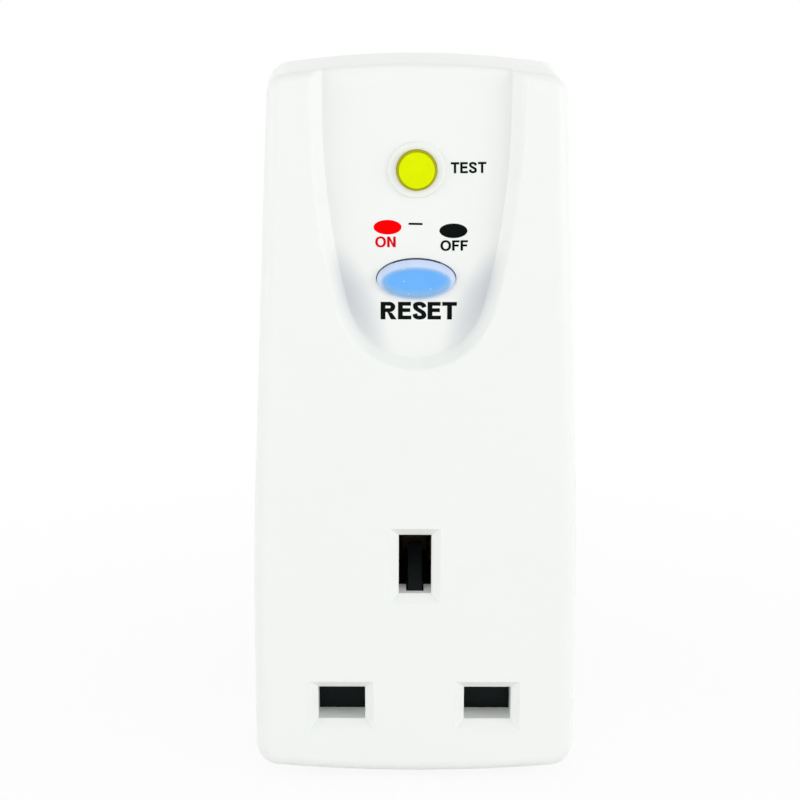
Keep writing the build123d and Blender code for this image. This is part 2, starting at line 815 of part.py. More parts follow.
# Socket moulding: pocketed plate that traps the shutter and houses the three socket contacts
with BuildPart() as socket_moulding:
    with BuildSketch(facing_front(moulding_back)):
        with Locations((0, (moulding_bottom + moulding_top) / 2)):
            RectangleRounded(2 * moulding_half_width, moulding_top - moulding_bottom, moulding_corner_radius)
        skirt_bottom = -pocket_half_height - pocket_wall
        with Locations((0, skirt_bottom + pocket_skirt_height)):
            Rectangle(2 * (pin_x + pocket_half_width + pocket_wall), 2 * pocket_skirt_height)
    extrude(amount=moulding_thickness)
    with BuildSketch(facing_wall(moulding_back)):
        with Locations((-pin_x, 0), (pin_x, 0)):
            Rectangle(2 * (pocket_half_width + pocket_wall), 2 * (pocket_half_height + pocket_wall))
        with Locations((0, earth_rise)):
            Rectangle(
                2 * (earth_pocket_half_width + pocket_wall),
                2 * (earth_pocket_half_height + pocket_wall),
            )
        with Locations((-pin_x, 0), (pin_x, 0)):
            Rectangle(2 * pocket_half_width, 2 * pocket_half_height, mode=Mode.SUBTRACT)
        with Locations((0, earth_rise)):
            Rectangle(2 * earth_pocket_half_width, 2 * earth_pocket_half_height, mode=Mode.SUBTRACT)
    extrude(amount=pocket_rear - moulding_back)
    with BuildSketch(facing_wall(moulding_front)):
        with Locations((-pin_x, 0), (pin_x, 0)):
            Rectangle(aperture_width + moulding_hole_growth, aperture_height + moulding_hole_growth)
        with Locations((0, earth_rise)):
            Rectangle(
                earth_aperture_width + moulding_hole_growth,
                earth_aperture_height + 2 * moulding_hole_growth,
            )
        slot_bottom = ramp_base - shutter_travel - 2 * seat_gap
        slot_top = earth_rise - earth_aperture_height / 2
        with Locations((0, (slot_bottom + slot_top) / 2)):
            Rectangle(ramp_width + ramp_slot_clearance, slot_top - slot_bottom)
    extrude(amount=moulding_thickness, mode=Mode.SUBTRACT)
    with BuildSketch(facing_wall(moulding_back)):
        with Locations((-pillar_x, pillar_height), (pillar_x, pillar_height)):
            Rectangle(2 * pillar_half_width, 2 * pillar_half_width)
    extrude(amount=pillar_seat - moulding_back)


# Socket contacts: folded clips whose leaves pinch the pins of the plug in the front
def clip_route(half_pin):
    """Half of a clip's folded route as depth and distance from the pin's centre."""
    leaf = half_pin + clip_thickness / 2
    base = clip_rear - clip_thickness / 2
    return [(clip_mouth, leaf + clip_flare), (clip_pinch, leaf - clip_grip), (base, leaf)]


def flat_contact(x):
    """Line or neutral contact with the tab that its strap lies on."""
    half = clip_route(flat_pin_height / 2)
    route = half + [(y, -z) for y, z in reversed(half)]
    with BuildPart() as contact:
        with BuildSketch(Plane.YZ.offset(x - clip_width / 2)):
            with BuildLine():
                FilletPolyline(*route, radius=clip_bend_radius)
            trace(line_width=clip_thickness)
        extrude(amount=clip_width)
        with BuildSketch(facing_front(clip_rear)):
            with Locations((x, (clip_tab_bottom + clip_tab_top) / 2)):
                Rectangle(strap_width, clip_tab_top - clip_tab_bottom)
        extrude(amount=clip_thickness)
    return contact


live_socket_contact = flat_contact(pin_x)
neutral_socket_contact = flat_contact(-pin_x)

with BuildPart() as earth_socket_contact:
    earth_half = clip_route(earth_pin_width / 2)
    earth_route = [(x, y) for y, x in earth_half] + [(-x, y) for y, x in reversed(earth_half)]
    with BuildSketch(Plane.XY.offset(earth_rise - earth_clip_height / 2)):
        with BuildLine():
            FilletPolyline(*earth_route, radius=clip_bend_radius)
        trace(line_width=clip_thickness)
    extrude(amount=earth_clip_height)

with BuildPart() as earth_link:
    with BuildSketch(facing_front(root_front)):
        with Locations((0, earth_rise)):
            Rectangle(earth_link_width, earth_clip_height)
    extrude(amount=root_front - clip_rear)

# Insulating plate between the supply straps and the socket contacts
with BuildPart() as insulating_plate:
    plate_rear = root_front - strap_thickness - barrier_gap
    with BuildSketch(facing_front(plate_rear)):
        with Locations((0, (plate_shoulder + plate_top) / 2)):
            Rectangle(2 * (strap_side + plate_side_overhang), plate_top - plate_shoulder)
        with Locations((0, (plate_bottom + plate_shoulder) / 2)):
            Rectangle(2 * plate_foot_half_width, plate_shoulder - plate_bottom)
        with Locations((0, earth_rise)):
            Rectangle(
                earth_link_width + 2 * plate_earth_clearance,
                earth_clip_height + 2 * plate_earth_clearance,
                mode=Mode.SUBTRACT,
            )
    extrude(amount=barrier_thickness)


# Straps: the supply pair runs behind the board, the load pair passes through the current transformer
def supply_strap(side):
    """Strap from a pin's root to the rear of the board."""
    route = [
        (side * strap_start_x, 0),
        (side * strap_side, 0),
        (side * strap_side, board_bottom - supply_strap_bend_drop),
        (side * (board_half_width - supply_strap_inset), board_bottom),
        (side * (board_half_width - supply_strap_inset), board_bottom + supply_strap_overlap),
    ]
    return flat_strap(route, root_front)


def load_strap(side):
    """Strap from the front of the board through the core to a socket contact's tab."""
    route = [
        (side * bar_x, frame_bottom + load_strap_top_gap),
        (side * bar_x, board_bottom + load_strap_bend_rise),
        (side * strap_core_x, core_height + core_length + strap_core_room),
        (side * strap_core_x, core_height - strap_core_room),
        (side * pin_x, core_height - load_strap_spread_drop),
        (side * pin_x, clip_tab_bottom + load_strap_tab_lap),
    ]
    return flat_strap(route, clip_base)


live_supply_strap = supply_strap(1)
neutral_supply_strap = supply_strap(-1)
live_load_strap = load_strap(1)
neutral_load_strap = load_strap(-1)

# Board and the parts soldered to it
with BuildPart() as circuit_board:
    with BuildSketch(facing_front(board_rear)):
        with Locations((0, (board_bottom + board_top) / 2)):
            RectangleRounded(2 * board_half_width, board_top - board_bottom, board_corner_radius)
        with Locations(*board_posts):
            Rectangle(
                2 * (board_peg_half_width + board_peg_clearance),
                2 * (board_peg_half_width + board_peg_clearance),
                mode=Mode.SUBTRACT,
            )
        with Locations((0, reset_height)):
            Circle(reset_shaft_radius + 2 * shaft_clearance, mode=Mode.SUBTRACT)
    extrude(amount=board_thickness)

with BuildPart() as control_chip:
    chip_middle = reset_height + chip_rise
    with BuildSketch(facing_wall(board_rear + chip_standoff)):
        with Locations((0, chip_middle)):
            Rectangle(chip_width, chip_height)
    extrude(amount=chip_thickness)
    with BuildSketch(facing_wall(board_rear)):
        with Locations((0, chip_middle - chip_lead_reach), (0, chip_middle + chip_lead_reach)):
            with GridLocations(chip_lead_pitch, 1, chip_lead_count, 1):
                Rectangle(chip_lead_width, chip_lead_length)
    extrude(amount=chip_lead_height)

with BuildPart() as varistor:
    varistor_bottom = test_height - varistor_drop
    varistor_middle = varistor_bottom + varistor_thickness / 2
    with BuildSketch(Plane.XY.offset(varistor_bottom)):
        with Locations((varistor_x, varistor_y)):
            Circle(varistor_radius)
    extrude(amount=varistor_thickness)
    chamfer(varistor.edges().filter_by(GeomType.CIRCLE), length=varistor_bevel)
    with BuildSketch(facing_front(board_front)):
        with Locations(
            (varistor_x - varistor_lead_x, varistor_middle),
            (varistor_x + varistor_lead_x, varistor_middle),
        ):
            Circle(varistor_lead_radius)
    extrude(amount=varistor_lead_length)

with BuildPart() as suppression_capacitor:
    with BuildSketch(facing_front(board_front)):
        with Locations((capacitor_x, test_height + capacitor_rise)):
            Rectangle(capacitor_width, capacitor_height)
    extrude(amount=capacitor_length)
    chamfer(suppression_capacitor.faces().sort_by(Axis.Y)[0].edges(), length=capacitor_bevel)

with BuildPart() as test_resistor:
    resistor_y = board_front - resistor_standoff
    resistor_bottom = reset_height + resistor_rise
    with BuildSketch(Plane.XY.offset(resistor_bottom)):
        with Locations((resistor_x, resistor_y)):
            Circle(resistor_radius)
    extrude(amount=resistor_length)
    for height, direction in ((resistor_bottom + resistor_length, 1), (resistor_bottom, -1)):
        with BuildLine(Plane.YZ.offset(resistor_x)):
            lead = Polyline(
                (resistor_y, height),
                (resistor_y, height + resistor_standoff * direction),
                (board_front, height + resistor_standoff * direction),
            )
        with BuildSketch(Plane(origin=lead @ 0, z_dir=lead % 0)):
            Circle(resistor_lead_radius)
        sweep(path=lead, transition=Transition.RIGHT)

# Current transformer: ring core that both load straps pass through, with its sense winding
core_axis_y = clip_base - strap_thickness / 2
with BuildPart() as transformer_core:
    with BuildSketch(Plane.XY.offset(core_height)):
        with Locations((0, core_axis_y)):
            Circle(core_outer_radius)
            Circle(core_inner_radius, mode=Mode.SUBTRACT)
    extrude(amount=core_length)

with BuildPart() as transformer_winding:
    winding_start = math.radians(winding_sweep / 2 - 90)
    outward = (math.cos(winding_start), math.sin(winding_start), 0)
    across = (math.sin(winding_start), -math.cos(winding_start), 0)
    section = Plane(origin=(0, core_axis_y, core_height + core_length / 2), x_dir=outward, z_dir=across)
    ring_middle = (core_outer_radius + core_inner_radius) / 2
    ring_width = core_outer_radius - core_inner_radius + 2 * winding_gap
    ring_height = core_length + 2 * winding_gap
    grown = 2 * winding_thickness
    with BuildSketch(section):
        with Locations((ring_middle, 0)):
            Rectangle(ring_width + grown, ring_height + grown)
            Rectangle(ring_width, ring_height, mode=Mode.SUBTRACT)
    revolve(axis=Axis((0, core_axis_y, 0), (0, 0, 1)), revolution_arc=-winding_sweep)

# Mechanism frame: bridge over the contact carrier, with the guide hole of the reset shaft
with BuildPart() as mechanism_frame:
    frame_middle = (frame_bottom + frame_top) / 2
    frame_height = frame_top - frame_bottom
    with BuildSketch(facing_front(board_front)):
        with Locations((0, frame_middle)):
            Rectangle(2 * frame_half_width, frame_height)
    extrude(amount=board_front - frame_front)
    with BuildSketch(facing_front(board_front)):
        with Locations((0, frame_middle)):
            Rectangle(2 * (frame_half_width - frame_cheek), frame_height)
    extrude(amount=board_front - frame_front - frame_cheek, mode=Mode.SUBTRACT)
    with BuildSketch(facing_front(board_front)):
        with Locations((0, reset_height)):
            Circle(reset_shaft_radius + shaft_clearance)
    extrude(amount=board_front - frame_front, mode=Mode.SUBTRACT)
    fillet(mechanism_frame.faces().sort_by(Axis.Y)[0].edges().filter_by(Axis.Z), radius=frame_corner_radius)

# Contact carrier: cross bar with a hub, guides for the latch plate and a foot for the latch spring
with BuildPart() as contact_carrier:
    foot_bottom = latch_bottom - latch_foot_drop
    with BuildSketch(facing_front(carrier_rear)):
        with Locations((0, reset_height)):
            Rectangle(2 * carrier_half_width, 2 * carrier_half_height)
        with Locations((0, (foot_bottom + reset_height) / 2)):
            Rectangle(2 * latch_foot_half_width, reset_height - foot_bottom)
    extrude(amount=carrier_thickness)
    with BuildSketch(facing_front(carrier_front)):
        with Locations((0, reset_height)):
            Circle(carrier_hub_radius)
    extrude(amount=carrier_front - carrier_hub_front)
    guide_x = latch_half_width + latch_guide_clearance + latch_guide_width / 2
    with BuildSketch(facing_wall(carrier_rear)):
        with Locations((-guide_x, reset_height), (guide_x, reset_height)):
            Rectangle(latch_guide_width, latch_guide_length)
        with Locations((0, foot_bottom + latch_foot_thickness / 2)):
            Rectangle(2 * latch_foot_half_width, latch_foot_thickness)
    extrude(amount=latch_rear + latch_guide_overhang - carrier_rear)
    with BuildSketch(facing_front(latch_rear)):
        with Locations((0, reset_height)):
            Circle(reset_shaft_radius + shaft_clearance)
    extrude(amount=latch_rear - carrier_hub_front, mode=Mode.SUBTRACT)

with BuildPart() as latch_plate:
    with BuildSketch(facing_front(latch_rear)):
        with Locations((0, (latch_bottom + latch_top) / 2)):
            Rectangle(2 * latch_half_width, latch_top - latch_bottom)
        with Locations((0, reset_height + latch_travel / 2)):
            SlotCenterToCenter(latch_travel, 2 * latch_slot_half_width, rotation=90, mode=Mode.SUBTRACT)
    extrude(amount=latch_thickness)

latch_spring = coil_spring(
    Plane(origin=(0, (latch_front + latch_rear) / 2, foot_bottom + latch_foot_thickness)),
    latch_spring_radius,
    latch_spring_wire,
    latch_spring_turns,
    latch_bottom - foot_bottom - latch_foot_thickness,
)


# Moving contacts: bars on the carrier's front with a rivet near each end
def moving_contact(x):
    """Bridging contact that closes one pole in two places."""
    with BuildPart() as bar:
        with BuildSketch(facing_front(carrier_front)):
            with Locations((x, reset_height)):
                Rectangle(bar_width, 2 * bar_half_length)
        extrude(amount=bar_thickness)
        with BuildSketch(facing_front(bar_front)):
            with Locations((x, reset_height - rivet_reach), (x, reset_height + rivet_reach)):
                Circle(rivet_radius)
        extrude(amount=rivet_height)
    return bar


def fixed_contact(x, end):
    """Bent terminal that stands on the board, with its arm in front of a moving rivet."""
    outer = reset_height + end * terminal_reach
    middle = terminal_thickness / 2
    with BuildPart() as terminal:
        with BuildSketch(Plane.YZ.offset(x - terminal_width / 2)):
            with BuildLine():
                FilletPolyline(
                    (board_front, outer - end * middle),
                    (terminal_front + middle, outer - end * middle),
                    (terminal_front + middle, outer - end * terminal_arm),
                    radius=bent_metal_radius,
                )
            trace(line_width=terminal_thickness)
        extrude(amount=terminal_width)
    return terminal


live_moving_contact = moving_contact(bar_x)
neutral_moving_contact = moving_contact(-bar_x)
live_supply_contact = fixed_contact(bar_x, 1)
neutral_supply_contact = fixed_contact(-bar_x, 1)
live_load_contact = fixed_contact(bar_x, -1)
neutral_load_contact = fixed_contact(-bar_x, -1)

# Springs of the carrier and the reset button
frame_under = frame_front + frame_cheek
carrier_springs = []
for side in (-1, 1):
    foot_middle = (side * carrier_spring_x, carrier_front, reset_height)
    foot = Plane(origin=foot_middle, x_dir=(1, 0, 0), z_dir=(0, -1, 0))
    spring = coil_spring(
        foot,
        carrier_spring_radius,
        carrier_spring_wire,
        carrier_spring_turns,
        carrier_front - frame_under,
    )
    carrier_springs.append(spring)

reset_spring = coil_spring(
    Plane(origin=(0, frame_front, reset_height), x_dir=(1, 0, 0), z_dir=(0, -1, 0)),
    reset_spring_radius,
    reset_spring_wire,
    reset_spring_turns,
    frame_front - reset_flange_back,
)

# Solenoid: yoke, bobbin, coil and the plunger that pushes the latch plate
yoke_top = solenoid_bottom + solenoid_length
with BuildPart() as solenoid_yoke:
    yoke_front = solenoid_y - bobbin_radius - bobbin_room - yoke_thickness
    yoke_rear = board_front - solder_gap
    with BuildSketch(Plane.YZ.offset(-yoke_half_width)):
        with BuildLine():
            FilletPolyline(
                (yoke_rear, solenoid_bottom + yoke_thickness / 2),
                (yoke_front + yoke_thickness / 2, solenoid_bottom + yoke_thickness / 2),
                (yoke_front + yoke_thickness / 2, yoke_top - yoke_thickness / 2),
                (yoke_rear, yoke_top - yoke_thickness / 2),
                radius=bent_metal_radius,
            )
        trace(line_width=yoke_thickness)
    extrude(amount=2 * yoke_half_width)
    with BuildSketch(Plane.XY.offset(solenoid_bottom)):
        with Locations((0, solenoid_y)):
            Circle(bobbin_bore_radius)
    extrude(amount=solenoid_length, mode=Mode.SUBTRACT)

bobbin_bottom = solenoid_bottom + yoke_thickness
bobbin_length = solenoid_length - 2 * yoke_thickness
with BuildPart() as solenoid_bobbin:
    with BuildSketch(Plane.XY.offset(bobbin_bottom)):
        with Locations((0, solenoid_y)):
            Circle(bobbin_radius)
    extrude(amount=bobbin_flange)
    with BuildSketch(Plane.XY.offset(bobbin_bottom + bobbin_length - bobbin_flange)):
        with Locations((0, solenoid_y)):
            Circle(bobbin_radius)
    extrude(amount=bobbin_flange)
    with BuildSketch(Plane.XY.offset(bobbin_bottom)):
        with Locations((0, solenoid_y)):
            Circle(bobbin_tube_radius)
    extrude(amount=bobbin_length)
    with BuildSketch(Plane.XY.offset(bobbin_bottom)):
        with Locations((0, solenoid_y)):
            Circle(bobbin_bore_radius)
    extrude(amount=bobbin_length, mode=Mode.SUBTRACT)

with BuildPart() as solenoid_coil:
    with BuildSketch(Plane.XY.offset(bobbin_bottom + bobbin_flange + winding_gap)):
        with Locations((0, solenoid_y)):
            Circle(bobbin_radius - coil_inset)
            Circle(bobbin_tube_radius + winding_gap, mode=Mode.SUBTRACT)
    extrude(amount=bobbin_length - 2 * bobbin_flange - 2 * winding_gap)

plunger_head_bottom = yoke_top + plunger_spring_length
with BuildPart() as solenoid_plunger:
    with BuildSketch(Plane.XY.offset(plunger_tip)):
        with Locations((0, solenoid_y)):
            Circle(plunger_radius)
    extrude(amount=plunger_head_bottom - plunger_tip)
    with BuildSketch(Plane.XY.offset(plunger_head_bottom)):
        with Locations((0, solenoid_y)):
            Circle(plunger_head_radius)
    extrude(amount=plunger_head_thickness)

plunger_spring = coil_spring(
    Plane(origin=(0, solenoid_y, yoke_top)),
    plunger_spring_radius,
    plunger_spring_wire,
    plunger_spring_turns,
    plunger_spring_length,
)

# Test circuit: a spring leaf under the test button and the terminal that it is pressed on
leaf_y = test_stem_end + leaf_thickness / 2
with BuildPart() as test_leaf:
    with BuildSketch(Plane.XY.offset(test_height - leaf_width / 2)):
        with BuildLine():
            FilletPolyline(
                (leaf_foot_x, board_front),
                (leaf_foot_x, leaf_y + leaf_bend_run),
                (leaf_foot_x - leaf_bend_run, leaf_y),
                (leaf_end_x, leaf_y),
                radius=bent_metal_radius,
            )
        trace(line_width=leaf_thickness)
    extrude(amount=leaf_width)

with BuildPart() as test_terminal:
    terminal_gap = test_travel + contact_gap_closed
    terminal_y = test_stem_end + leaf_thickness + terminal_gap + test_terminal_thickness / 2
    with BuildSketch(Plane.XY.offset(test_height - leaf_width / 2)):
        with BuildLine():
            FilletPolyline(
                (test_terminal_x, board_front),
                (test_terminal_x, terminal_y),
                (test_terminal_end_x, terminal_y),
                radius=bent_metal_radius,
            )
        trace(line_width=test_terminal_thickness)
    extrude(amount=leaf_width)

# Case screws: pan heads with a cross recess, in the wells of the rear base
with BuildPart() as case_screws:
    with BuildSketch(facing_front(screw_seat)):
        with Locations(*screw_places):
            Circle(screw_radius)
    extrude(amount=screw_length)
    with BuildSketch(facing_wall(screw_seat)):
        with Locations(*screw_places):
            Circle(screw_head_radius)
    extrude(amount=screw_head_height)
    with BuildSketch(facing_front(screw_seat + screw_head_height)):
        with Locations(*screw_places):
            Rectangle(screw_slot_length, screw_slot_width)
            Rectangle(screw_slot_width, screw_slot_length)
    extrude(amount=screw_slot_depth, mode=Mode.SUBTRACT)

# Labels and files
pieces = {
    "front_cover": front_cover.part,
    "rear_base": rear_base.part,
    "live_pin": live_pin.part,
    "neutral_pin": neutral_pin.part,
    "earth_pin": earth_pin.part,
    "live_pin_sleeve": live_pin_sleeve.part,
    "neutral_pin_sleeve": neutral_pin_sleeve.part,
    "test_button": test_button.part,
    "reset_button": reset_button.part,
    "shutter": shutter.part,
    "shutter_spring": shutter_spring.part,
    "socket_moulding": socket_moulding.part,
    "live_socket_contact": live_socket_contact.part,
    "neutral_socket_contact": neutral_socket_contact.part,
    "earth_socket_contact": earth_socket_contact.part,
    "earth_link": earth_link.part,
    "insulating_plate": insulating_plate.part,
    "live_supply_strap": live_supply_strap.part,
    "neutral_supply_strap": neutral_supply_strap.part,
    "live_load_strap": live_load_strap.part,
    "neutral_load_strap": neutral_load_strap.part,
    "circuit_board": circuit_board.part,
    "control_chip": control_chip.part,
    "varistor": varistor.part,
    "suppression_capacitor": suppression_capacitor.part,
    "test_resistor": test_resistor.part,
    "transformer_core": transformer_core.part,
    "transformer_winding": transformer_winding.part,
    "mechanism_frame": mechanism_frame.part,
    "contact_carrier": contact_carrier.part,
    "latch_plate": latch_plate.part,
    "latch_spring": latch_spring.part,
    "live_moving_contact": live_moving_contact.part,
    "neutral_moving_contact": neutral_moving_contact.part,
    "live_supply_contact": live_supply_contact.part,
    "neutral_supply_contact": neutral_supply_contact.part,
    "live_load_contact": live_load_contact.part,
    "neutral_load_contact": neutral_load_contact.part,
    "left_carrier_spring": carrier_springs[0].part,
    "right_carrier_spring": carrier_springs[1].part,
    "reset_spring": reset_spring.part,
    "solenoid_yoke": solenoid_yoke.part,
    "solenoid_bobbin": solenoid_bobbin.part,
    "solenoid_coil": solenoid_coil.part,
    "solenoid_plunger": solenoid_plunger.part,
    "plunger_spring": plunger_spring.part,
    "test_leaf": test_leaf.part,
    "test_terminal": test_terminal.part,
    "case_screws": case_screws.part,
}

os.makedirs("parts", exist_ok=True)
for name, piece in pieces.items():
    piece.label = name
    export_step(piece, f"parts/{name}.step")
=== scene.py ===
"""Finishes, printing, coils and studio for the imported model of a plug-in residual current adapter.

Places are in the frame of the CAD model: X to the right as seen from the front, Y from the front face to
the wall outlet and Z up, with the origin on the plug face midway between the line and neutral pins. The
sizes of pieces and finishes are in millimetres, and MM turns them into metres. The studio is in metres.
"""

import logging
import math
from dataclasses import dataclass
from enum import Enum
from functools import reduce

import bpy
import numpy as np
from mathutils import Matrix


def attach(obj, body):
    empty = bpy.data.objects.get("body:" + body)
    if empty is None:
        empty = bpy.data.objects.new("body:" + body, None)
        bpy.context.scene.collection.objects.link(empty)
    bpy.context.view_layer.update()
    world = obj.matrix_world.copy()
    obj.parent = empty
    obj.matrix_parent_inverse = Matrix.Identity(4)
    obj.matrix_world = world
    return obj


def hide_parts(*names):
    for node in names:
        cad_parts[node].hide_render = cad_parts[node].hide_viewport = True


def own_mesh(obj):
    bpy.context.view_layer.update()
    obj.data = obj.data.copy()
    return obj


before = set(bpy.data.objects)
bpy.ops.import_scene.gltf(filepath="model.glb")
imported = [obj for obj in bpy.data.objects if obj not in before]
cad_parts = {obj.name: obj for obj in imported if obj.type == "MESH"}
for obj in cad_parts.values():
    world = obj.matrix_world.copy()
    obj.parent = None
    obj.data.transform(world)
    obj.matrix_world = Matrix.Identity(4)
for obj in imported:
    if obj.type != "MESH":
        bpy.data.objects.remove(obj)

MM = 0.001
log = logging.getLogger("adapter")


class Axis(Enum):
    """Axis that a turned piece or a coil stands along."""

    ALONG_Y = 1
    ALONG_Z = 2


class InkTone(Enum):
    """Linear colour of a printed mark."""

    BLACK = (0.0045, 0.0062, 0.0056)
    RED = (0.98, 0.0, 0.001)
    DEEP_RED = (0.72, 0.0, 0.012)


# Surfaces


@dataclass
class Skin:
    """Closed surface as arrays: points, four-sided faces and three-sided faces."""

    points: np.ndarray
    quads: np.ndarray
    tris: np.ndarray

    def joined(self, other: "Skin") -> "Skin":
        """Returns this surface and another one as a single set of arrays."""
        shift = len(self.points)
        return Skin(
            np.vstack([self.points, other.points]),
            np.vstack([self.quads, other.quads + shift]),
            np.vstack([self.tris, other.tris + shift]),
        )

    def piece(self, name: str, finish: bpy.types.Material, smooth_angle: float = 40.0) -> bpy.types.Object:
        """Makes a mesh object from the arrays.

        Args:
            name: Name of the object.
            finish: Material of its one slot.
            smooth_angle: Edges that turn more than this, in degrees, stay sharp.

        Returns:
            The object, linked to the scene, at the origin.
        """
        mesh = bpy.data.meshes.new(name)
        loops = np.concatenate([self.quads.ravel(), self.tris.ravel()]).astype(np.int32)
        sizes = np.concatenate([np.full(len(self.quads), 4), np.full(len(self.tris), 3)]).astype(np.int32)
        starts = np.concatenate([[0], np.cumsum(sizes)[:-1]]).astype(np.int32)
        mesh.vertices.add(len(self.points))
        mesh.vertices.foreach_set("co", self.points.astype(np.float32).ravel())
        mesh.loops.add(len(loops))
        mesh.loops.foreach_set("vertex_index", loops)
        mesh.polygons.add(len(sizes))
        mesh.polygons.foreach_set("loop_start", starts)
        mesh.polygons.foreach_set("use_smooth", np.ones(len(sizes), dtype=bool))
        mesh.update(calc_edges=True)
        mesh.validate()
        mesh.set_sharp_from_angle(angle=math.radians(smooth_angle))
        mesh.materials.append(finish)
        obj = bpy.data.objects.new(name, mesh)
        bpy.context.scene.collection.objects.link(obj)
        return obj


def lattice(rows: int, cols: int, looped: bool = False) -> np.ndarray:
    """Four-sided faces of a grid of rows by cols points, whose columns wrap round.

    Args:
        rows: Number of points along the grid.
        cols: Number of points round it.
        looped: True joins the last row to the first as well.

    Returns:
        Face array, one row of four point numbers per face.
    """
    i, j = np.meshgrid(np.arange(rows if looped else rows - 1), np.arange(cols), indexing="ij")
    k, m = (j + 1) % cols, (i + 1) % rows
    return np.stack([i * cols + j, i * cols + k, m * cols + k, m * cols + j], axis=-1).reshape(-1, 4)


def closed_by_poles(grid: np.ndarray, flip: bool = False) -> Skin:
    """Closes a wrapped grid with a pole at each end: the pole is the mean of the first or last ring.

    Args:
        grid: Points, rows by columns by 3, whose columns wrap round.
        flip: True turns every face over.

    Returns:
        The closed surface.
    """
    rows, cols = grid.shape[:2]
    points = np.vstack([grid.reshape(-1, 3), grid[0].mean(axis=0), grid[-1].mean(axis=0)])
    quads = lattice(rows, cols)
    j = np.arange(cols)
    k = (j + 1) % cols
    first = np.stack([np.full(cols, rows * cols), k, j], axis=-1)
    last_row = (rows - 1) * cols
    last = np.stack([np.full(cols, rows * cols + 1), last_row + j, last_row + k], axis=-1)
    tris = np.vstack([first, last])
    if flip:
        quads, tris = quads[:, ::-1], tris[:, ::-1]
    return Skin(points, quads, tris)


def turned(profile: np.ndarray, centre: tuple, axis: Axis, steps: int, squash: tuple = (1.0, 1.0)) -> Skin:
    """Carries a profile round an axis.

    A point of the profile at a radius r goes, at each angle a, to r times (cosine a, sine a) across the
    axis, with the two directions scaled by squash, and keeps its place along the axis.

    Args:
        profile: Radius and place along the axis, from the lower end to the upper end, n by 2.
        centre: Point on the axis, whose place along the axis doesn't count.
        axis: Direction of the axis.
        steps: Points round.
        squash: Scale of the two directions across the axis.

    Returns:
        The closed surface.
    """
    angle = np.linspace(0, 2 * np.pi, steps, endpoint=False)
    across_one = profile[:, :1] * np.cos(angle) * squash[0]
    across_two = profile[:, :1] * np.sin(angle) * squash[1]
    along = np.repeat(profile[:, 1:], steps, axis=1)
    if axis is Axis.ALONG_Z:
        grid = np.stack([centre[0] + across_one, centre[1] + across_two, along], axis=-1)
        return closed_by_poles(grid)
    grid = np.stack([centre[0] + across_one, along, centre[2] + across_two], axis=-1)
    return closed_by_poles(grid, flip=True)


def tube(path: np.ndarray, outward: np.ndarray, radius: float, sides: int) -> Skin:
    """Carries a circle along a path.

    The circle at a point lies across the path's tangent. Its first axis is the part of outward that is
    square to the tangent, and its second axis is the cross product of the tangent and the first.

    Args:
        path: Points along the wire, n by 3.
        outward: A direction at each point that is never along the path, n by 3.
        radius: Radius of the wire.
        sides: Points round the wire.

    Returns:
        The closed surface.
    """
    tangent = np.gradient(path, axis=0)
    tangent /= np.linalg.norm(tangent, axis=1, keepdims=True)
    first = outward - (outward * tangent).sum(axis=1, keepdims=True) * tangent
    first /= np.linalg.norm(first, axis=1, keepdims=True)
    second = np.cross(tangent, first)
    angle = np.linspace(0, 2 * np.pi, sides, endpoint=False)
    c, s = np.cos(angle)[None, :, None], np.sin(angle)[None, :, None]
    return closed_by_poles(path[:, None, :] + radius * (first[:, None, :] * c + second[:, None, :] * s))


def smoothed(points: list, corner_steps: int) -> np.ndarray:
    """Rounds off a profile: each inner corner becomes a quadratic curve.

    The curve starts a third of the way back and ends a third of the way on. With t as the share of its run,
    it adds up the start times (1 - t) squared, the corner times 2 t (1 - t), and the end times t squared.

    Args:
        points: Corner points of the profile.
        corner_steps: Points on each curve.

    Returns:
        Points of the rounded profile, n by 2.
    """
    corners = np.array(points, dtype=float)
    share = np.linspace(0, 1, corner_steps)[:, None]
    inner = corners[1:-1]
    back = inner + (corners[:-2] - inner) / 3
    ahead = inner + (corners[2:] - inner) / 3
    curves = (1 - share) ** 2 * back[:, None, :] + 2 * share * (1 - share) * inner[:, None, :]
    curves = curves + share**2 * ahead[:, None, :]
    return np.vstack([corners[:1], curves.reshape(-1, 2), corners[-1:]])


# Finishes


